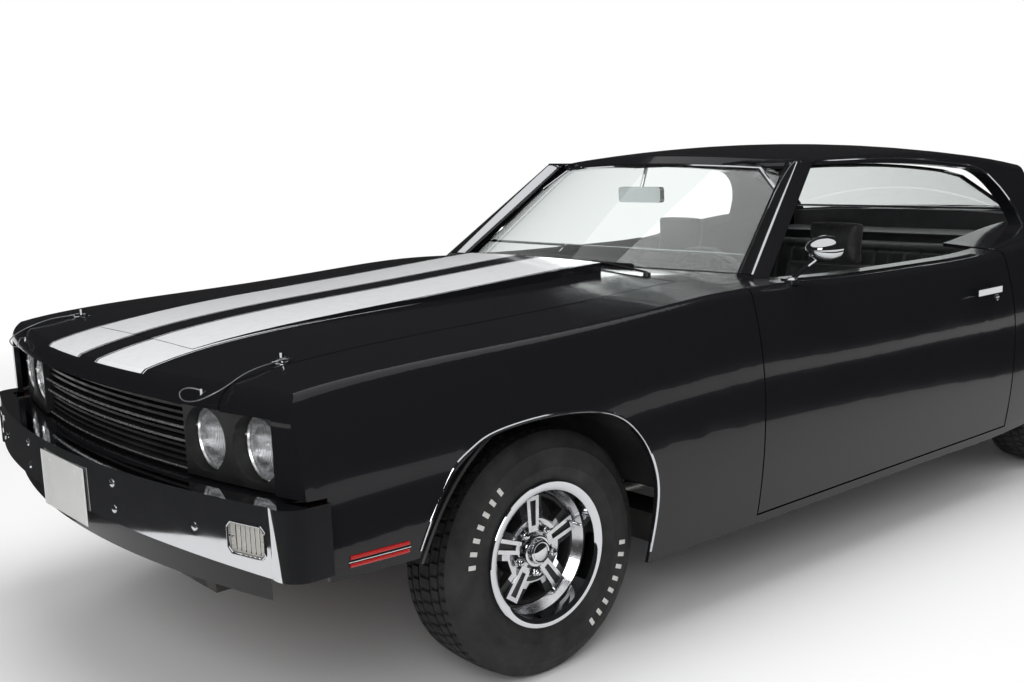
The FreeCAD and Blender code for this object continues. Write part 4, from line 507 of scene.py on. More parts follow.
def rubber_finish(name):
    """Tyre rubber: near black, dusty and fine-grained."""
    rubber = Finish(name, (0.016, 0.016, 0.0165), 0.0, 0.75, specular_ior_level=0.35)
    rubber.colour(rubber.ramp(rubber.noise(11, 8, 0.65), (0.35, (0.013, 0.013, 0.0135)),
        (0.8, (0.034, 0.033, 0.032))))
    rubber.rough(rubber.ramp(rubber.noise(25, 5), (0.3, 0.6), (0.75, 0.85)))
    return rubber.bump(rubber.noise(500, 4), 0.3, 0.0006).material


def wheel_middle(rim):
    """Distance from the nearest wheel's axis, and how far out along it a place is."""
    x, y, z = rim.parts()
    ahead, behind = (rim.maths("ABSOLUTE", rim.maths("SUBTRACT", y, axle)) for axle in (FRONT_AXLE, REAR_AXLE))
    along = rim.maths("MINIMUM", ahead, behind)
    up = rim.maths("SUBTRACT", z, AXLE_Z)
    square = rim.maths("ADD", rim.maths("POWER", along, 2), rim.maths("MULTIPLY", up, up))
    out = rim.maths("SUBTRACT", rim.maths("ABSOLUTE", x), WHEEL_X)
    return rim.maths("SQRT", square), out


def rim_finish():
    """Polished ridges over black pockets, with a bright outer lip."""
    rim = Finish("rim_metal", (0.62, 0.62, 0.64), 1.0, 0.2)
    radius, out = wheel_middle(rim)
    pocket = rim.maths("MULTIPLY", rim.maths("LESS_THAN", out, POCKET_TOP), band(rim, radius, *POCKETS))
    inside = rim.maths("LESS_THAN", out, RIM_MIDDLE)
    black = rim.maths("MAXIMUM", pocket, inside)
    bright = rim.ramp(rim.noise(30, 6), (0.3, (0.56, 0.56, 0.58)), (0.75, (0.68, 0.68, 0.7)))
    rim.colour(rim.mixed(black, bright, (0.016, 0.016, 0.017)))
    rim.metal(rim.maths("SUBTRACT", 1.0, black))
    gloss = rim.ramp(rim.noise(45, 5), (0.3, 0.14), (0.75, 0.26))
    rim.rough(rim.maths("ADD", gloss, rim.maths("MULTIPLY", black, 0.28)))
    return rim.bump(rim.noise(260, 3), 0.06, 0.0005).material


def clear_glass(name, colour):
    """Window or lamp glass with faint unevenness."""
    glass = Finish(name, colour, 0, 0, transmission_weight=1, ior=1.45)
    return glass.bump(glass.noise(6, 2), 0.03, 0.001)


def lens_finish(name, colour, scale, direction, see_through):
    """Moulded lamp plastic with ribs."""
    lens = Finish(name, colour, 0.0, 0.12, transmission_weight=see_through, ior=1.46, coat_weight=0.5)
    pale = tuple(min(1, part * 1.12) for part in colour)
    lens.colour(lens.ramp(lens.noise(20, 3), (0.3, colour), (0.8, pale)))
    return lens.bump(lens.ribs(scale, direction), 0.6, 0.002).material


# ---- lanyards
LANYARD_LENGTH, LANYARD_THICK = 0.378019, 0.0032
LANYARD = (  # sideways from the left pin, behind it, above the bonnet at the pin, in millimetres
    (10, -20, 1.5), (26, -67, 1), (34, -121, -10), (50, -174, -30), (30, -221, -51), (-22, -227, -63),
    (-66, -229, -63), (-79, -224, -45), (-54, -209, -35), (-38, -193, -43),
)


def lanyard_points(way, top):
    """The lanyard's route on one side, in metres."""
    return [Vector((way * (PIN_X + x / 1000), PIN_Y + y / 1000, top + z / 1000)) for x, y, z in LANYARD]


def make_lanyard(side, way, coat):
    """The coated wire that keeps a bonnet pin's clip."""
    points = lanyard_points(way, PIN_FOOT)
    line = wire(f"lanyard_{side}", points, LANYARD_THICK / 2, smooth=True, sides=4, fineness=10)
    line.data.materials.append(coat)
    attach(line, "hood")
    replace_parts(line, f"hood_lanyard_{side}")
    return line, points


set_camera()
PIN_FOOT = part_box("hood_lanyard_left")[1].z - 0.0031  # the bonnet at the pin, below the wire's highest point
COAT = Finish("lanyard_coat", (0.3, 0.3, 0.31), 0.9, 0.35)
COAT.bump(COAT.noise(900, 2), 0.3, 0.0003)
LANYARDS = [make_lanyard(side, way, COAT.material) for side, way in SIDES]


# ---- finishes of the car
BODY = plain_paint("black_paint", BLACK, 0.1, 0.16, 1).material
HOOD_PAINT = striped_paint("black_paint_striped", 0.8685)
LID_PAINT = striped_paint("black_paint_striped_lid", 0.9)
CHROME = chrome_finish("chrome", (0.62, 0.63, 0.65))
BRIGHT_STRIP = metal_finish("bright_strip", (0.74, 0.75, 0.76), (0.84, 0.84, 0.85), 0.22, 0.34, bump=0.02)
DARK_CHROME = chrome_finish("wiped_chrome", (0.66, 0.67, 0.69), 0.07, 0.18)
SATIN_BLACK = satin_finish("satin_black", (0.012, 0.012, 0.013), (0.03, 0.029, 0.028))
FRAME_BLACK = satin_finish("frame_black", (0.018, 0.018, 0.018), (0.06, 0.052, 0.044), 0.45, 0.75)
ENGINE_PAINT = satin_finish("engine_paint", (0.34, 0.055, 0.016), (0.24, 0.045, 0.02), 0.25, 0.5)
CAST_IRON = metal_finish("cast_iron", (0.1, 0.09, 0.085), (0.19, 0.17, 0.15), 0.5, 0.75, bump=0.5)
STEEL = metal_finish("steel", (0.36, 0.35, 0.34), (0.52, 0.51, 0.49), 0.28, 0.5, (1, 6, 6))
TANK = metal_finish("tank_steel", (0.34, 0.34, 0.35), (0.48, 0.48, 0.49), 0.35, 0.6)
ALLOY = metal_finish("alloy", (0.6, 0.6, 0.61), (0.74, 0.74, 0.75), 0.16, 0.34, bump=0.05)
RIM = rim_finish()
RUBBER = rubber_finish("tyre_rubber")
TRIM_RUBBER = satin_finish("seal_rubber", (0.012, 0.012, 0.012), (0.028, 0.027, 0.026), 0.55, 0.8)
VINYL = leather_finish("seat_vinyl", (0.014, 0.014, 0.0155), (0.026, 0.026, 0.028))
PLASTIC = plastic_finish("dash_plastic", (0.016, 0.016, 0.018), (0.03, 0.03, 0.033))
CARPET = plastic_finish("carpet", (0.012, 0.012, 0.013), (0.034, 0.033, 0.034), 900)
WHITE_MARK = plain_paint("white_rubber", (0.55, 0.55, 0.53), 0.55, 0.75).material
SCREEN = clear_glass("window_glass", (0.9, 0.95, 0.93)).material
LAMP_GLASS = clear_glass("lamp_glass", (0.96, 0.97, 0.98))
LAMP_GLASS = LAMP_GLASS.bump(LAMP_GLASS.ribs(55, "X"), 0.35, 0.0012).material
TURN_LENS = lens_finish("turn_lens", (0.82, 0.8, 0.74), 70, "Z", 0.55)
RED_LENS = lens_finish("red_lens", (0.5, 0.01, 0.008), 60, "Z", 0.25)
PLATE = satin_finish("plate_paint", (0.7, 0.7, 0.69), (0.62, 0.62, 0.61), 0.3, 0.5)
DIAL_FACE = satin_finish("dial_face", (0.012, 0.012, 0.013), (0.022, 0.022, 0.023))
MIRROR_FACE = chrome_finish("mirror_face", (0.75, 0.77, 0.78), 0.01, 0.03)
BUMPER_CHROME = chrome_finish("bumper_chrome", (0.66, 0.67, 0.69), 0.03, 0.08)

NODE_FINISH = {"body_paint": BODY, "clear_glass": SCREEN, "chrome": CHROME, "headlamp_glass": LAMP_GLASS,
    "amber_lens": TURN_LENS, "red_lens": RED_LENS, "satin_black": SATIN_BLACK, "plate_blank": PLATE,
    "frame_black": FRAME_BLACK, "engine_iron": ENGINE_PAINT, "exhaust_steel": STEEL, "tank_steel": TANK,
    "cabin_vinyl": VINYL, "dash_plastic": PLASTIC, "tyre_rubber": RUBBER, "wheel_alloy": RIM,
    "lanyard_coat": COAT.material}
for part in frame["record"]["subparts"]:
    mesh = NODES[part["node"]].data
    mesh.materials.clear()
    mesh.materials.append(NODE_FINISH[part["material_slot"]])
for name, finish_of_node in (("hood", HOOD_PAINT), ("trunk_lid", LID_PAINT), ("driveline", CAST_IRON),
        ("floor_pan", CARPET), ("front_bumper", BUMPER_CHROME), ("rear_bumper", BUMPER_CHROME),
        ("knuckle_left", CAST_IRON), ("knuckle_right", CAST_IRON), ("front_control_arms", CAST_IRON)):
    NODES[name].data.materials[0] = finish_of_node


# ---- front: lamps, grille, bumper
def nose_line(x, behind=0.0):
    """Where the lamps' glass and the grille's bright bars are foremost."""
    return NOSE + 0.112 + x * x / 7.2 + behind


def make_headlamps():
    """Fluted glasses, polished bowls with a bulb shield, and bright retaining rings."""
    lens = turned([(0, 0), (0.8, 18), (3.2, 36), (7.3, 54), (13.2, 71.2), (17.2, 71.2), (11.5, 53), (7.5, 36),
        (5, 18), (4.2, 0)], (0, 0, 0), "Y")
    bowl = turned([(17.6, 70.5), (23.5, 57), (40, 48), (54, 30), (60, 10), (61, 0)], (0, 0, 0), "Y")
    modify(bowl, "SOLIDIFY", thickness=0.0012, offset=1)
    shield = turned([(26, 0), (27, 8), (31, 12), (38, 12), (38, 10), (46, 9.5), (60, 9.5), (60.2, 0)],
        (0, 0, 0), "Y", 24)
    ring = turned([(11, 67), (6.8, 69.5), (7, 73.5), (11, 76.5), (20, 77.2), (20, 72.5), (13, 70.5), (11, 67)],
        (0, 0, 0), "Y", 64)
    screw = turned([(4, 0), (4.4, 2), (5.6, 3.3), (9, 3.3), (9.2, 0)], (0.0, 0, 0.0752), "Y", 12)
    ring = join([ring] + turned_copies(screw, (0, 0, 0), "Y", (0, 45, 165, 285)))
    bowl = join([bowl, shield])
    for name, form, paint in (("headlamp_glass", lens, LAMP_GLASS), ("headlamp_bowls", bowl, ALLOY),
            ("headlamp_rings", ring, BRIGHT_STRIP)):
        spots = [twin(form, Matrix.Translation((x, nose_line(x), LAMP_Z))) for x in LAMPS_X]
        bpy.data.objects.remove(form)
        made = finish(spots, name, paint)
        if name == "headlamp_glass":
            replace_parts(made, "headlamps")


def make_grille_trim():
    """Bright strips on the proud bars and along the grille's upper and lower edges."""
    strips = []
    for z, radius, ahead in ((0.7175, 0.0032, 0.0016), (0.7505, 0.0032, 0.0016), (0.8175, 0.0034, 0.001),
            (0.65, 0.0022, 0.0)):
        points = [(x, nose_line(x) - ahead, z) for x in steps(-0.472, 0.472, 25)]
        strips.append(tube(points, radius))
    finish(strips, "grille_strips", BRIGHT_STRIP)
    mesh = []
    for x in steps(-0.455, 0.455, 27):
        mesh.append(block((x - 0.002, nose_line(x, 0.034), 0.655), (x + 0.002, nose_line(x, 0.037), 0.812),
            0.0006, 1))
    finish(mesh, "grille_screen", SATIN_BLACK)


def loop_on(ray, tree, low, high, radius, rounding=0.012):
    """A thin bright frame between two corners, laid on a surface that rays find."""
    corners = [low, (high[0], low[1]), high, (low[0], high[1])]
    found = []
    for (x0, z0), (x1, z1) in zip(corners, corners[1:] + corners[:1]):
        run = math.hypot(x1 - x0, z1 - z0)
        for share in steps(rounding / run, 1 - rounding / run, 6):
            place = ray(tree, x0 + (x1 - x0) * share, z0 + (z1 - z0) * share)
            if place:
                found.append(place)
    return tube(found, radius, closed=True)


def blank_plate(back, front, line, bottom, top, radius, screw, screw_place):
    """A blank number plate with a raised border and two screws."""
    low, high = bottom + 0.0035, top - 0.0035
    border = [(x, line, z) for x, z in ((-0.149, low), (0.149, low), (0.149, high), (-0.149, high))]
    return [block((-0.1525, back, bottom), (0.1525, front, top), 0.0005, 1), tube(border, radius, closed=True),
        *(turned(screw, (x, *screw_place), "Y", 16) for x in (-0.089, 0.089))]


def make_front_bumper_fittings():
    """Round-headed bolts, frames round the turn lamps with their screws, and the blank plate."""
    bumper = tree_of("front_bumper")
    bolts, frames = [], []
    for x, z in ((0.3, 0.545), (0.3, 0.61), (0.64, 0.566)):
        place = from_ahead(bumper, x, z)
        bolts.append(turned([(-4.5, 0), (-4.2, 4), (-3, 8.2), (-0.8, 10.8), (3, 11.2), (3.2, 0)], place, "Y",
            20))
    lamps = tree_of("front_bumper", "turn_lamps")
    frames.append(loop_on(from_ahead, lamps, (0.7545, 0.5275), (0.8685, 0.6005), 0.003))
    for x in (0.7635, 0.859):
        place = from_ahead(lamps, x, 0.564)
        frames.append(turned([(-2.2, 0), (-1.8, 2.8), (0, 4.2), (4, 4.2), (4.2, 0)], place, "Y", 12))
    for x in steps(0.775, 0.848, 6):
        low, high = (from_ahead(lamps, x, z) for z in (0.5345, 0.5935))
        frames.append(tube([low, high], 0.0012, sides=1))
    finish(bolts, "front_bumper_bolts", CHROME, both=True)
    finish(frames, "turn_lamp_frames", DARK_CHROME, both=True)
    plate = blank_plate(-2.5063, -2.5048, -2.5066, 0.468, 0.62, 0.0012,
        [(-1.4, 0), (-1.3, 4), (-0.4, 6.2), (1.2, 6.4), (1.4, 0)], (-2.5064, 0.601))
    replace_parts(finish(plate, "front_plate_blank", PLATE), "front_plate")


def make_pin_clips():
    """Hairpin clips through the bonnet pins, and the pins' turned tops."""
    x, y, z = PIN_X, PIN_Y, PIN_FOOT
    pin = turned([(-40, 5.8), (3, 5.8), (3.5, 4.8), (6, 4.8), (6.5, 5.8), (13.5, 5.8), (16, 4), (16.6, 0)],
        (x, y, z), "Z", 24)
    start = lanyard_points(1, z)[0]
    bends = ((10, -6, 6), (12, 10, 5.5), (1, 16, 5.5), (-10, 8, 5.5), (-9, -8, 5.5), (4, -16, 4.5))
    loop = [start + Vector((0.001, 0.001, 0.003)), *(Vector((x, y, z)) + Vector(bend) / 1000 for bend in bends),
        start + Vector((-0.001, 0, 0.003))]
    clip = turned([(-8, 2.4), (8, 2.4), (8, 1), (-8, 1), (-8, 2.4)], start + Vector((0.002, -0.006, 0.0006)),
        "Y", 16)
    finish(pin, "bonnet_pin_tops", CHROME, both=True)
    finish([tube(loop, 0.0014, smooth=True), clip], "bonnet_pin_clips", CHROME, "hood", both=True)


def curve_through(points, per=5):
    """A line that passes smoothly through every point."""
    points = [Vector(point) for point in points]
    ends = [points[0] * 2 - points[1]] + points + [points[-1] * 2 - points[-2]]
    line = []
    for before, start, end, after in zip(ends, ends[1:], ends[2:], ends[3:]):
        for step in range(per):
            t = step / per
            line.append(0.5 * ((2 * start) + (end - before) * t + (2 * before - 5 * start + 4 * end
                - after) * t * t + (3 * start - before - 3 * end + after) * t ** 3))
    return line + [points[-1]]


# ---- sides and windows
def make_arch_mouldings():
    """Thin bright mouldings round the four wheel openings."""
    front = [(-0.5, 0.012), (-0.482, 0.08), (-0.44, 0.2), (-0.37, 0.312), (-0.309, 0.355), (-0.23, 0.382),
        (-0.08, 0.392), (0.073, 0.38), (0.18, 0.347), (0.255, 0.282), (0.305, 0.197), (0.327, 0.1),
        (0.322, -0.06)]
    rear = [(-0.395, -0.05), (-0.389, 0.09), (-0.346, 0.218), (-0.264, 0.299), (-0.02, 0.361), (0.232, 0.315),
        (0.347, 0.216), (0.395, 0.081), (0.406, -0.01)]
    sets = []
    for outline, axle, panel in ((front, FRONT_AXLE, "front_fender_left"),
            (rear, REAR_AXLE, "quarter_panel_left")):
        tree = tree_of(panel)
        path = curve_through([(0, y, z) for y, z in outline])
        line = [(axle + place.y * ARCH_GROWTH, AXLE_Z + place.z * ARCH_GROWTH) for place in path]
        places = [Vector((min(place.x, WIDEST), place.y, place.z)) for place in on_side(tree, line, -0.0012)]
        sets.append(tube(places, 0.0042))
    finish(sets, "arch_mouldings", CHROME, both=True)


def glass_loop(tree, foot, tilt, outline, inside=0.004):
    """Points round a window, just on the edge of its glass, and the way out of it."""
    up = Vector((0, math.cos(tilt), math.sin(tilt)))
    out = Vector((0, -math.sin(tilt), math.cos(tilt)))
    if out.z < 0:
        out = -out
    low_half, low_side, low_mid, top_half, top_side, top_mid = (value / 1000 for value in outline)
    edge = [(low_half + (top_half - low_half) * share - inside, low_side + (top_side - low_side) * share)
        for share in steps(0.06, 0.94, 7)]
    border = [(share * low_half, low_mid + (low_side - low_mid) * share * share + inside)
        for share in steps(-0.985, 0.985, 17)] + edge
    border += [(share * top_half, top_mid + (top_side - top_mid) * share * share - inside)
        for share in steps(0.985, -0.985, 17)] + [(-across, along) for across, along in reversed(edge)]
    starts = [foot + Vector((across, 0, 0)) + up * along + out * 0.4 for across, along in border]
    found = [hit(tree, start, -out) for start in starts]
    return [place for place in found if place], out


def make_window_trim():
    """Bright mouldings round the windscreen and the rear window, and black seals inside them."""
    trims, seals = [], []
    for node, foot, tilt, outline in (("windshield", (0, DOOR_FRONT + 0.04, 1), math.radians(34.5),
            (708, 104, -60, 560, 612, 520)), ("rear_window", (0, DOOR_REAR + 0.866, 1.004),
            math.atan2(0.254, -0.566), (590, -6, -30, 528, 596, 586))):
        points, out = glass_loop(tree_of(node), Vector(foot), tilt, outline)
        trims.append(tube([point + out * 0.001 for point in points], 0.006, closed=True))
        middle = sum(points, Vector()) / len(points)
        seals.append(tube([point + (middle - point).normalized() * 0.009 for point in points], 0.004,
            closed=True))
    finish(trims, "window_mouldings", CHROME)
    finish(seals, "window_seals", TRIM_RUBBER)


def make_drip_rails():
    """Gutters over the side windows, bright on their edges, and the mouldings along the belt."""
    line = [(-613.5, 975), (-489.5, 1085), (-369.5, 1190), (-269.5, 1284), (-89.5, 1288), (210.5, 1286),
        (510.5, 1274), (895.5, 1232), (1015.5, 1164), (1079.5, 1074), (1099.5, 989)]
    path = curve_through([(0, y / 1000, z / 1000) for y, z in line], 4)
    tree = tree_of("roof", "quarter_panel_left")
    rail = tube(on_side(tree, [(place.y, place.z) for place in path], 0.0008), 0.0052)
    finish(rail, "drip_rails", CHROME, both=True)
    for part, low, high in (("door_left", DOOR_FRONT + 0.225, DOOR_REAR - 0.008),
            ("quarter_panel_left", DOOR_REAR + 0.01, REAR_AXLE - 0.19)):
        points = on_top(tree_of(part), [(0.842, y) for y in steps(low, high, 12)])
        strip = join([tube(points, 0.0045), tube([point + Vector((-0.012, 0, -0.001)) for point in points],
            0.006)])
        if part == "door_left":
            on_doors(strip, "belt_moulding", CHROME)
        else:
            finish(strip, "belt_mouldings_rear", CHROME, both=True)


def make_wipers():
    """Two wiper arms with their blades along the foot of the windscreen."""
    glass, cowl = tree_of("windshield"), tree_of("firewall_cowl")
    pieces, rubbers = [], []
    up, out = Vector((0, 0.824, 0.566)), Vector((0, -0.566, 0.824))
    for inner, outer, pivot in ((-0.02, 0.5, 0.52), (-0.52, -0.06, -0.02)):
        line = []
        for x in steps(inner, outer, 8):
            start = Vector((x, DOOR_FRONT + 0.04, 1.0)) + up * (-0.03 + 0.16 * x * x / 0.5) + out * 0.4
            place = hit(glass, start, -out)
            if place:
                line.append(place)
        rubbers.append(tube([place + out * 0.005 for place in line], 0.0042))
        pieces.append(tube([place + out * 0.011 for place in line], 0.0032))
        middle = line[len(line) // 2] + out * 0.014
        foot = from_above(cowl, pivot, DOOR_FRONT - 0.045, 1.3) or Vector((pivot, DOOR_FRONT - 0.045, 0.965))
        pieces.append(turned([(-4, 13), (6, 12), (10, 9), (12, 0)], foot, "Z", 20))
        pieces.append(tube([foot + Vector((0, 0, 0.01)), (foot + middle) / 2 + out * 0.01, middle], 0.004,
            smooth=True))
    finish(pieces, "wiper_arms", SATIN_BLACK)
    finish(rubbers, "wiper_blades", TRIM_RUBBER)


def make_side_markers():
    """Slim markers low on the front wings and on the rear corners."""
    frames = []
    for end, node, low, high, levels in (("front", "front_fender_left", -2.224, -2.074, (0.49, 0.509)),
            ("rear", "quarter_panel_left", 2.08, 2.23, (0.56, 0.579))):
        tree = tree_of(node)
        lenses = [tube(on_side(tree, [(y, z) for y in steps(low, high, 7)], 0.0005), 0.0048) for z in levels]
        finish(lenses, f"markers_{end}", RED_LENS, both=True)
        middle = [(y, sum(levels) / 2) for y in steps(low - 0.004, high + 0.004, 7)]
        frames.append(tube(on_side(tree, middle, -0.0005), 0.003))
    finish(frames, "marker_frames", CHROME, both=True)


def make_door_fittings():
    """Lock cylinders below the handles, and the round mirror on the left door."""
    tree = tree_of("door_left")
    place = from_left(tree, DOOR_REAR - 0.105, 0.768)
    lock = turned([(-4, 12), (2.2, 11.8), (3, 9.5), (2.4, 7.5), (3, 6), (3.2, 0)], place, "X", 24)
    on_doors(lock, "door_lock", CHROME)
    centre = Vector((0.9405, -0.49, 1.037))
    shell = turned([(-82, 0), (-79, 10), (-70, 20), (-52, 30), (-28, 37), (0, 39.5), (4, 38.5), (4, 35.5),
        (-3, 35), (-3, 0)], centre, "Y", 40)
    edited(shell, (bpy.ops.transform.resize, {"value": (1.5, 1, 1), "center_override": centre}))
    stalk = tube([(0.872, -0.571, 0.946), (0.886, -0.56, 0.962), (0.902, -0.54, 0.985), (0.925, -0.525, 1.006)],
        0.007, smooth=True)
    foot = turned([(-12, 21), (2, 19), (8, 10), (10, 0)], (0.872, -0.571, 0.944), "Z", 24)
    mirror = finish([shell, stalk, foot], "door_mirror_shell", CHROME, "door_left")
    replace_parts(mirror, "door_mirror")


make_headlamps()
make_grille_trim()
make_front_bumper_fittings()
make_pin_clips()
make_arch_mouldings()
make_window_trim()
make_drip_rails()
make_wipers()
make_side_markers()
make_door_fittings()


# ---- wheels
def make_tyre_form():
    """A tyre with ribs, grooves and sipes, about the left wheels' axis."""
    half = [(19, 329.6), (19.5, 322), (24.5, 322), (25, 329.3), (51, 328), (51.5, 320), (57.5, 320),
        (58, 327.2), (78, 325), (88, 316), (96, 302), (101, 290), (104.6, 285), (106, 283), (105.8, 280),
        (106.4, 268), (106.8, 250), (105.6, 236), (106, 233.5), (104, 230), (98.5, 212), (88.5, 195),
        (88.5, 178.6), (65.5, 178.6)]
    inner = [(65.5, 196.5), (90, 244), (80, 300), (0, 314), (-80, 300), (-90, 244), (-65.5, 196.5)]
    rings = [(-out, radius) for out, radius in reversed(half)] + half + inner
    rings.append(rings[0])
    tyre = turned(rings, WHEEL, "X", TYRE_STEPS)
    for polygon in tyre.data.polygons:
        y, z = polygon.center.y, polygon.center.z - AXLE_Z
        out, radius = polygon.center.x - WHEEL_X, math.hypot(y, z)
        place = round(math.degrees(math.atan2(z, y)) * TYRE_STEPS / 360 + 0.5)
        rib = round((out + 0.1) / SIPE_STEP)
        tread = radius > TREAD_RADIUS and abs(out) < TREAD_HALF and polygon.area > 0.00008
        polygon.select = tread and (place + rib) % 3 == 0
    for edge in tyre.data.edges:
        edge.select = False
    for vertex in tyre.data.vertices:
        vertex.select = False
    use(tyre)
    bpy.ops.object.mode_set(mode="EDIT")
    bpy.ops.mesh.select_mode(type="FACE")
    bpy.ops.mesh.inset(thickness=0.0032, depth=-0.0055, use_individual=True)
    bpy.ops.mesh.select_mode(type="VERT")
    bpy.ops.object.mode_set(mode="OBJECT")
    return tyre


def around_wheel(form, angles):
    """Copies of a form turned about the left wheels' axis, joined."""
    return join(turned_copies(form, WHEEL, "X", angles))


def on_wheels(form, name, material, replaced=None):
    """One copy of a form on each wheel."""
    settle(form)
    for corner, way, axle in CORNERS:
        turn = Matrix.Rotation(math.pi if way < 0 else 0, 4, "Z")
        copy = twin(form, Matrix.Translation((0, axle, 0)) @ turn)
        finish(copy, f"{name}_{corner}", material, f"wheel_{corner}")
        if replaced:
            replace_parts(copy, f"{replaced}_{corner}")
    bpy.data.objects.remove(form)


def make_wheels():
    """Tyres with raised white dashes, trim rings, caps, nuts and valves."""
    on_wheels(make_tyre_form(), "tyre_tread", RUBBER, "tyre")
    dash = block((WHEEL_X + 0.104, -0.006, AXLE_Z + 0.25), (WHEEL_X + 0.1076, 0.006, AXLE_Z + 0.272), 0.0009)
    angles = [38 + 7.4 * step for step in range(7)] + [212 + 7.4 * step for step in range(8)]
    on_wheels(around_wheel(dash, angles), "tyre_marks", WHITE_MARK)
    ring = [(56, 168), (92, 169.8), (96.5, 176), (98.6, 185.5), (98.8, 192.5), (97, 194.2), (95.5, 193),
        (96.8, 186), (90.5, 171.2), (56, 169), (56, 168)]
    cap = [(50, 42), (54.5, 41.8), (55.5, 40), (55, 35), (60, 33.8), (67, 31), (69, 27), (67.8, 24), (70, 20),
        (72.2, 10), (72.6, 0)]
    on_wheels(turned(ring, WHEEL, "X", 96), "trim_ring", CHROME)
    on_wheels(turned(cap, WHEEL, "X", 48), "centre_cap", CHROME)
    nut = turned([(40, 11.5), (52, 11.5), (54.5, 10), (56, 7.5), (60, 7), (61.8, 4.5), (62.2, 0)],
        (WHEEL_X, 0, AXLE_Z + 0.06), "X", 6)
    nut = around_wheel(nut, [36 + 72 * step for step in range(5)])
    valve = turned([(40, 4.5), (62, 4.2), (64, 3.6), (70, 3.6), (72, 2), (72.2, 0)],
        (WHEEL_X, 0.142, AXLE_Z + 0.04), "X", 12)
    on_wheels(join([nut, valve]), "wheel_nuts", CHROME)


# ---- seats
def pillow(size, crown, cap):
    """A crowned cushion lying about the origin, its sides pulled in between its corners."""
    bpy.ops.mesh.primitive_cube_add(size=1, scale=size)
    piece = settle(bpy.context.object)
    edited(piece, (bpy.ops.mesh.bevel, {"offset": min(size) * 0.22, "segments": 4, "affect": "EDGES"}),
        (bpy.ops.mesh.subdivide, {"number_cuts": 9}))
    wide, long, thick = (value / 2 for value in size)
    for vertex in piece.data.vertices:
        u, v, w = vertex.co.x / wide, vertex.co.y / long, vertex.co.z / thick
        vertex.co.z += crown * w * (1 - u * u) * (1 - v * v)
        vertex.co.x *= 1 - 0.022 * (1 - v * v) * abs(u)
        vertex.co.y *= 1 - 0.022 * (1 - u * u) * abs(v)
    modify(piece, "REMESH", mode="VOXEL", voxel_size=PAD_VOXEL)
    puff(piece, cap)
    return piece


def puff(piece, cap):
    """Blows the cover up like padded cloth, and keeps every point within a short way of its start."""
    starts = [vertex.co.copy() for vertex in piece.data.vertices]
    use(piece)
    bpy.ops.object.modifier_add(type="CLOTH")
    cloth = piece.modifiers[-1]
    cloth.settings.use_pressure = True
    cloth.settings.uniform_pressure_force = CLOTH_PRESSURE
    cloth.settings.effector_weights.gravity = 0
    cloth.point_cache.frame_end = CLOTH_FRAMES
    for step in range(1, CLOTH_FRAMES + 1):
        bpy.context.scene.frame_set(step)
    bpy.ops.object.modifier_apply(modifier=cloth.name)
    bpy.context.scene.frame_set(1)
    for vertex, start in zip(piece.data.vertices, starts):
        move = vertex.co - start
        if move.length > cap:
            vertex.co = start + move.normalized() * cap


def sew(piece, lines, axis, limits, depth):
    """Sewn channels across the upper face: along the other axis between limits."""
    cuts = []
    for vertex in piece.data.vertices:
        shown = vertex.normal.z > 0.3 and limits[0] < vertex.co[1 - axis] < limits[1]
        near = [math.exp(-((vertex.co[axis] - line) / STITCH) ** 2) for line in lines] if shown else []
        cuts.append(depth * sum(near))
    for vertex, cut in zip(piece.data.vertices, cuts):
        vertex.co.z -= cut


def piping(size, height):
    """A welt round the upper edge of a cushion."""
    wide, long = (value / 2 - 0.01 for value in size[:2])
    corner = min(wide, long) * 0.22
    line = []
    for x, y, turn in ((wide, long, 0), (-wide, long, 90), (-wide, -long, 180), (wide, -long, 270)):
        middle = Vector((x - math.copysign(corner, x), y - math.copysign(corner, y), height))
        for step in range(5):
            angle = math.radians(turn + step * 22.5)
            line.append(middle + Vector((math.cos(angle), math.sin(angle), 0)) * corner)
    return tube(line, 0.0038, closed=True)


def make_pad(name, size, crown, cap, lines, limits, place, lean):
    """A finished cushion: blown up, sewn, piped and put in its place, leaning by degrees."""
    piece = pillow(size, crown, cap)
    sew(piece, lines, 0, limits, 0.007)
    sew(piece, limits, 1, (-size[0] * 0.36, size[0] * 0.36), 0.006)
    piece = join([piece, piping(size, size[2] * 0.31)])
    piece.data.transform(Matrix.Translation(place) @ Matrix.Rotation(math.radians(lean), 4, "X"))
    return soft(piece, name)


def soft(piece, name):
    """Vinyl over soft stuffing."""
    finish(piece, name, VINYL, smooth=50)
    return piece


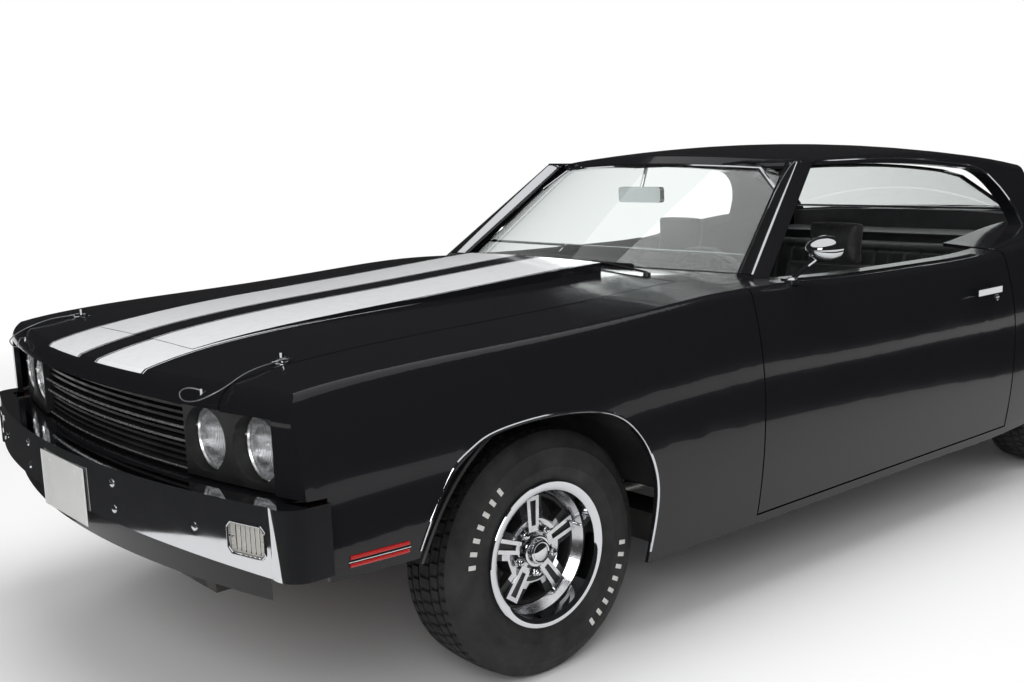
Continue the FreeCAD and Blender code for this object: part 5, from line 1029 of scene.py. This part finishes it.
def make_seats():
    """Two buckets with headrests, and the rear bench, with their rails and shells."""
    flutes, bench_flutes = (-0.105, -0.053, 0, 0.053, 0.105), steps(-0.45, 0.45, 13)
    cushion_left = make_pad("seat_cushion_left", (0.43, 0.44, 0.125), 0.016, 0.007, flutes, (-0.15, 0.16),
        (SEAT_X, -0.032, 0.4165), 3)
    back = make_pad("seat_back_left", (0.425, 0.45, 0.085), 0.013, 0.006, flutes, (-0.16, 0.15),
        (SEAT_X, 0.281, 0.672), 90 - SEAT_RAKE)
    head = make_pad("headrest_left", (0.215, 0.15, 0.055), 0.009, 0.004, (), (-0.5, -0.4),
        (SEAT_X, 0.341, 0.965), 84)
    for pad in (cushion_left, back, head):
        copy = soft(twin(pad, MIRROR), pad.name.replace("left", "right"))
        if pad == cushion_left:
            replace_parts(copy, "front_seat_right")
    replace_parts(cushion_left, "front_seat_left")
    bench = make_pad("rear_cushion", (1.15, 0.37, 0.11), 0.012, 0.007, bench_flutes, (-0.13, 0.13),
        (0, 0.835, 0.51), 4)
    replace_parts(bench, "rear_seat")
    make_pad("rear_backrest", (1.15, 0.34, 0.075), 0.01, 0.006, bench_flutes, (-0.12, 0.12), (0, 1.122, 0.73),
        76)
    shells = [block((0.195, -0.235, 0.318), (0.595, 0.185, 0.365), 0.006, 3)]
    shells += [block((x, -0.215, 0.3), (x + 0.025, 0.2, 0.32), 0.006, 3) for x in (0.215, 0.55)]
    shells.append(block((0.2, 0.3, 0.45), (0.59, 0.318, 0.86), 0.006, 3, (math.radians(-SEAT_RAKE), 0, 0)))
    shells += [tube([(x, 0.33, 0.85), (x, 0.34, 0.9), (x, 0.343, 0.945)], 0.0055, smooth=True)
        for x in (0.34, 0.45)]
    finish(shells, "seat_frames", PLASTIC, both=True)
    finish(block((-0.585, 0.665, 0.441), (0.585, 1.06, 0.462), 0.005), "rear_seat_base", PLASTIC)


# ---- rear, pillars and tips
def make_pillar_strips():
    """Bright mouldings on the windscreen pillars."""
    feet = (Vector((0.712, 0.115, 0.9)), Vector((0.797, 0.092, 0.9)))
    heads = (Vector((0.56, 0.611, 1.294)), Vector((0.624, 0.589, 1.294)))
    bpy.ops.mesh.primitive_cube_add(size=1)
    strip = settle(bpy.context.object)
    for vertex in strip.data.vertices:
        across = 0.1 if vertex.co.x < 0 else 0.94
        climb = 0.15 if vertex.co.z < 0 else 0.99
        lift = -0.0035 if vertex.co.y < 0 else 0.004
        vertex.co = feet[0].lerp(feet[1], across).lerp(heads[0].lerp(heads[1], across), climb)
        vertex.co.y += DOOR_FRONT + lift
    finish(tidy_faces(bevelled(strip, 0.0024, 3)), "pillar_mouldings", CHROME, both=True)


def make_rear_fittings():
    """Frames round the tail lamps, a blank plate, the lid's lock, bumper bolts and the tail pipes' ends."""
    bumper = tree_of("rear_bumper", "tail_lamps")
    frames, bolts = [], []
    frames.append(loop_on(from_behind, bumper, (0.557, 0.527), (0.803, 0.601), 0.0035))
    for z in (0.552, 0.576):
        points = [from_behind(bumper, x, z) for x in steps(0.562, 0.798, 9)]
        frames.append(tube([point for point in points if point], 0.0014, sides=1))
    for x, z in ((0.3, 0.56), (0.3, 0.62)):
        place = from_behind(bumper, x, z)
        bolts.append(turned([(-3, 11.2), (0.8, 10.8), (3, 8.2), (4.2, 4), (4.5, 0)], place, "Y", 20))
    finish(frames, "tail_lamp_frames", CHROME, both=True)
    finish(bolts, "rear_bumper_bolts", CHROME, both=True)
    panel = tree_of("tail_panel")
    face = from_behind(panel, 0.12, 0.742).y
    plate = blank_plate(face + 0.0012, face + 0.0032, face + 0.0034, 0.668, 0.818, 0.0014,
        [(-1, 6.4), (1.2, 6.2), (2.6, 4), (2.9, 0)], (face + 0.003, 0.742))
    finish(plate, "rear_plate_blank", PLATE)
    place = from_behind(panel, 0, 0.89)
    lock = turned([(-4, 15), (2, 14.8), (3.4, 12), (2.6, 8.5), (3.4, 7), (3.6, 0)], place, "Y", 32)
    finish(lock, "boot_lock", CHROME)
    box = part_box("exhaust")
    tree = tree_of("exhaust")
    tips = [from_behind(tree, x, z) for z in steps(box[0].z + 0.01, box[1].z - 0.01, 24)
        for x in steps(0.3, box[1].x - 0.01, 12)]
    tips = [place for place in tips if place and place.y > box[1].y - 0.02]
    centre = sum(tips, Vector()) / len(tips)
    tip = turned([(-110, 34.5), (6, 35), (7.5, 33.5), (6, 31.5), (-110, 31.2), (-110, 34.5)],
        (centre.x, box[1].y, centre.z), "Y", 40)
    finish(tip, "tail_pipe_ends", DARK_CHROME, both=True)


make_wheels()
make_seats()
make_pillar_strips()
make_rear_fittings()


# ---- cabin
def make_dash_fittings():
    """Round dials with bright rims and marks, knobs, the glove box lid and the mirror's face."""
    tree = tree_of("dashboard")
    rims, faces, needles, knobs = [], [], [], []
    for x, radius in ((0.3, 52), (0.42, 52), (0.515, 34), (0.205, 34)):
        place = from_cabin(tree, x, 0.835) + Vector((0, 0.001, 0))
        rims.append(turned([(0, radius), (8, radius - 1), (9, radius - 4), (4, radius - 6), (0, radius - 6),
            (0, radius)], place, "Y", 40))
        faces.append(turned([(-2, radius - 4), (1.6, radius - 5), (1.8, 0)], place, "Y", 40))
        for turn in range(-120, 121, 30):
            way = Vector((math.sin(math.radians(turn)), 0, math.cos(math.radians(turn))))
            ends = [place + Vector((0, 0.0024, 0)) + way * (radius - inside) / 1000 for inside in (12, 7)]
            needles.append(tube(ends, 0.0007, sides=0))
        hand = Vector((-0.45, 0, 0.35)) * radius / 1000
        foot = place + Vector((0, 0.003, 0))
        needles.append(tube([foot, foot + hand], 0.001, sides=0))
    for x in (0.08, 0.03, -0.02, -0.07):
        place = from_cabin(tree, x, 0.79)
        knobs.append(turned([(-4, 6), (10, 6), (12, 12), (20, 11), (22, 8), (22.2, 0)], place, "Y", 20))
    lid_place = from_cabin(tree, -0.4, 0.8)
    lid = block((-0.56, lid_place.y - 0.004, 0.76), (-0.24, lid_place.y + 0.007, 0.84), 0.004, 3)
    finish(rims + knobs, "dial_rims", CHROME)
    finish(faces, "dial_faces", DIAL_FACE)
    finish(needles, "dial_marks", WHITE_MARK)
    finish(lid, "glove_box_lid", PLASTIC)
    face = block((-0.098, -0.2975, 1.157), (0.098, -0.2962, 1.199), 0.0005, 1)
    finish(face, "mirror_face", MIRROR_FACE)


def make_door_trim():
    """Armrests, ribs, winders and pulls on the doors' inner sides."""
    rest = block((0.728, -0.2, 0.622), (0.7725, 0.12, 0.658), 0.012, 4)
    upper = block((0.762, -0.42, 0.7), (0.7735, 0.56, 0.712), 0.004)
    lower = block((0.764, -0.42, 0.5), (0.7735, 0.56, 0.508), 0.003)
    on_doors(join([rest, upper, lower]), "door_pads", VINYL)
    arm = tube([(0.77, -0.33, 0.64), (0.75, -0.33, 0.64), (0.748, -0.33, 0.64), (0.748, -0.29, 0.575),
        (0.748, -0.272, 0.548)], 0.006)
    grip = turned([(-32, 0), (-30, 9), (-4, 10), (0, 6)], (0.748, -0.272, 0.548), "X", 20)
    boss = turned([(-20, 0), (-18, 10), (-4, 20), (3, 22)], (0.7715, -0.33, 0.64), "X", 24)
    pull = tube([(0.7715, 0.02, 0.735), (0.752, 0.02, 0.735), (0.75, -0.01, 0.736), (0.752, -0.06, 0.74)],
        0.005, smooth=True)
    on_doors(join([arm, grip, boss, pull]), "door_winders", CHROME)


def make_floor_fittings():
    """The shifter with its boot, and the pedals."""
    floor = tree_of("floor_pan")
    base = from_above(floor, 0, -0.33, 0.9)
    boot = turned([(-4, 70), (10, 66), (16, 52), (24, 50), (32, 36), (40, 34), (50, 20), (60, 12), (62, 0)],
        base, "Z", 32)
    lever = tube([base + Vector((0, 0, 0.05)), base + Vector((0, 0.01, 0.13)), base + Vector((0, 0.035, 0.22))],
        0.0065, smooth=True)
    knob = turned([(-20, 8), (-14, 16), (0, 24), (12, 20), (20, 10), (22, 0)], base + Vector((0, 0.037, 0.235)),
        "Z", 24)
    finish(boot, "shifter_boot", VINYL)
    finish(lever, "shifter_lever", CHROME)
    finish(knob, "shifter_knob", PLASTIC)
    pads = []
    for x, wide in ((0.435, 0.045), (0.3, 0.03)):
        pads.append(block((x - wide, -0.69, 0.395), (x + wide, -0.68, 0.455), 0.004, 2,
            (math.radians(-25), 0, 0)))
        pads.append(tube([(x, -0.69, 0.44), (x, -0.74, 0.56), (x, -0.8, 0.7)], 0.007, smooth=True))
    finish(pads, "pedals", TRIM_RUBBER)


# ---- under the bonnet
def make_engine_fittings():
    """Air cleaner, rocker covers, fan, hoses, radiator cap, battery and the brake servo."""
    top = tree_of("engine")
    seat = from_above(top, 0, -1.45, 1.2).z
    cleaner = turned([(-4, 80), (4, 150), (8, 172), (12, 176), (40, 176), (44, 180), (48, 178), (52, 150),
        (50, 60), (54, 20), (60, 16), (64, 0)], (0, -1.45, min(seat, 0.846)), "Z", 64)
    finish(cleaner, "air_cleaner", CHROME)
    covers = []
    for x in (0.215, -0.215):
        low = min(from_above(top, x, y, 1.2).z for y in (-1.78, -1.15))
        covers.append(block((x - 0.058, -1.8, low - 0.01), (x + 0.058, -1.13, min(low + 0.052, 0.878)), 0.014,
            3))
        for y in steps(-1.74, -1.19, 6):
            covers.append(block((x - 0.04, y - 0.006, min(low + 0.05, 0.876)),
                (x + 0.04, y + 0.006, min(low + 0.055, 0.882)), 0.002, 1))
    finish(covers, "rocker_covers", CHROME)
    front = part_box("engine")[0].y
    fan = [turned([(-50, 0), (-50, 50), (-20, 55), (0, 30), (4, 30)], (0, front, 0.6), "Y", 32)]
    blade = block((-0.03, front - 0.045, 0.645), (0.03, front - 0.041, 0.8), 0.001, 1, (0, 0, math.radians(28)))
    fan += turned_copies(blade, (0, 0, 0.6), "Y", [60 * step for step in range(6)])
    finish(fan, "fan", STEEL)
    upper = tube([(0.18, -2.15, 0.77), (0.18, -2.08, 0.775), (0.11, -2, 0.8), (0.06, front + 0.01, 0.79)],
        0.019, sides=4, smooth=True)
    lower = tube([(-0.2, -2.15, 0.48), (-0.2, -2.08, 0.48), (-0.14, -2, 0.5), (-0.09, front + 0.01, 0.52)],
        0.02, sides=4, smooth=True)
    finish([upper, lower], "coolant_hoses", TRIM_RUBBER)
    cap = turned([(-4, 24), (8, 26), (12, 22), (16, 10), (16.2, 0)], (0.1, -2.185, 0.812), "Z", 24)
    finish(cap, "radiator_cap", CHROME)
    case = [block((-0.6, -2.14, 0.6), (-0.41, -2.036, 0.775), 0.006, 3),
        block((-0.604, -2.144, 0.762), (-0.406, -2.032, 0.78), 0.004, 2)]
    finish(case, "battery", PLASTIC)
    posts = [turned([(0, 10), (14, 9), (16, 6), (16.2, 0)], (x, -2.088, 0.779), "Z", 16)
        for x in (-0.57, -0.44)]
    finish(posts, "battery_posts", ALLOY)
    servo = turned([(0, 85), (-20, 112), (-45, 115), (-50, 118), (-60, 118), (-66, 110), (-90, 85), (-100, 40),
        (-104, 0)], (0.43, -0.872, 0.78), "Y", 48)
    master = block((0.4, -1.11, 0.765), (0.46, -0.968, 0.835), 0.01, 3)
    finish([servo, master], "brake_servo", CAST_IRON)


def make_brakes():
    """Grooved discs that turn with the wheels, seen between the spokes."""
    disc = turned([(-42, 84), (-42, 110), (-41.4, 111), (-42, 112), (-42, 135), (-40.5, 136.2),
        (-31.5, 136.2), (-30, 135), (-30, 112), (-30.6, 111), (-30, 110), (-30, 84),
        (-42, 84)], WHEEL, "X", 72)
    on_wheels(disc, "brake_disc", STEEL)


make_dash_fittings()
make_door_trim()
make_floor_fittings()
make_engine_fittings()
make_brakes()


def eye_rays(tree):
    """1 for the rays that the camera sees by: straight, mirrored or through glass."""
    path = tree.nodes.new("ShaderNodeLightPath").outputs
    seen = path["Is Camera Ray"]
    for kind in ("Is Glossy Ray", "Is Transmission Ray"):
        most = tree.nodes.new("ShaderNodeMath")
        most.operation = "MAXIMUM"
        tree.links.new(seen, most.inputs[0])
        tree.links.new(path[kind], most.inputs[1])
        seen = most.outputs[0]
    return seen


def mix_shaders(tree, factor, first, second, end):
    """The first shader where the factor is 0 and the second where it is 1."""
    mix = tree.nodes.new("ShaderNodeMixShader")
    for source, socket in zip((factor, first.outputs[0], second.outputs[0]), mix.inputs):
        tree.links.new(source, socket)
    tree.links.new(mix.outputs[0], tree.nodes[end].inputs["Surface"])


def make_studio():
    """A pale floor that fades to white, soft lamps, and a white surround."""
    paint = Finish("studio_floor", (0.86, 0.86, 0.86), 0, 0.9, specular_ior_level=0.1)
    paint.bump(paint.noise(30, 3), 0.02, 0.002)
    x, y, _ = paint.parts()
    far = paint.maths("SQRT", paint.maths("ADD", paint.maths("MULTIPLY", x, x), paint.maths("MULTIPLY", y, y)))
    fade = paint.ramp(paint.maths("DIVIDE", far, 10), (0.33, 0.0), (0.62, 1.0))
    glow = paint.node("ShaderNodeEmission", in_strength=1)
    mix_shaders(paint.tree, paint.maths("MULTIPLY", fade, eye_rays(paint.tree)), paint.shader, glow,
        "Material Output")
    bpy.ops.mesh.primitive_plane_add(size=60)
    floor = bpy.context.object
    floor.name = "studio_floor"
    floor.data.materials.append(paint.material)
    world = bpy.data.worlds.new("studio")
    bpy.context.scene.world = world
    world.use_nodes = True
    tree = world.node_tree
    light, white = tree.nodes["Background"], tree.nodes.new("ShaderNodeBackground")
    for background, strength in ((light, 0.55), (white, 1)):
        background.inputs["Color"].default_value = (1, 1, 1, 1)
        background.inputs["Strength"].default_value = strength
    mix_shaders(tree, eye_rays(tree), light, white, "World Output")
    for name, place, size, power in (("overhead", (0.5, -0.5, 6), 5, 260),
            ("front_left", (4.5, -5.5, 3.6), 3, 140), ("rear_right", (-5, 4, 3.6), 3, 110)):
        lamp = put(name, bpy.data.lights.new(name, "AREA"))
        lamp.data.size = size
        lamp.data.energy = power
        lamp.location = place
        lamp.visible_glossy = name == "front_left"
        lamp.rotation_euler = (Vector((0, 0, 0.6)) - Vector(place)).to_track_quat("-Z", "Y").to_euler()


def make_surround():
    """Dark cards round the studio, and a low dark band close round the car, which only polished surfaces see:
    painted dark reflections.
    """
    card_paint = Finish("studio_card", (0.02, 0.02, 0.021), 0.0, 0.95)
    card_paint.bump(card_paint.noise(4, 2), 0.05, 0.01)
    # the second form is a low dark band close round the car, seen only by polished surfaces: a painted dark
    # reflection along the lower body
    for name, radius, height, shape in (("studio_card", 14.0, 16.0, (1, 1, 1)),
            ("dark_reflection_band", 1.0, 0.46, (2.15, 3.75, 1))):
        bpy.ops.mesh.primitive_cylinder_add(vertices=96, radius=radius, depth=height, end_fill_type="NOTHING",
            location=(0, 0, height / 2 + 0.02), scale=shape)
        card = bpy.context.object
        card.name = name
        card.data.materials.append(card_paint.material)
        for kind in ("camera", "diffuse", "transmission", "shadow", "volume_scatter"):
            setattr(card, f"visible_{kind}", False)


make_studio()
make_surround()
bpy.context.scene.view_settings.view_transform = "Standard"
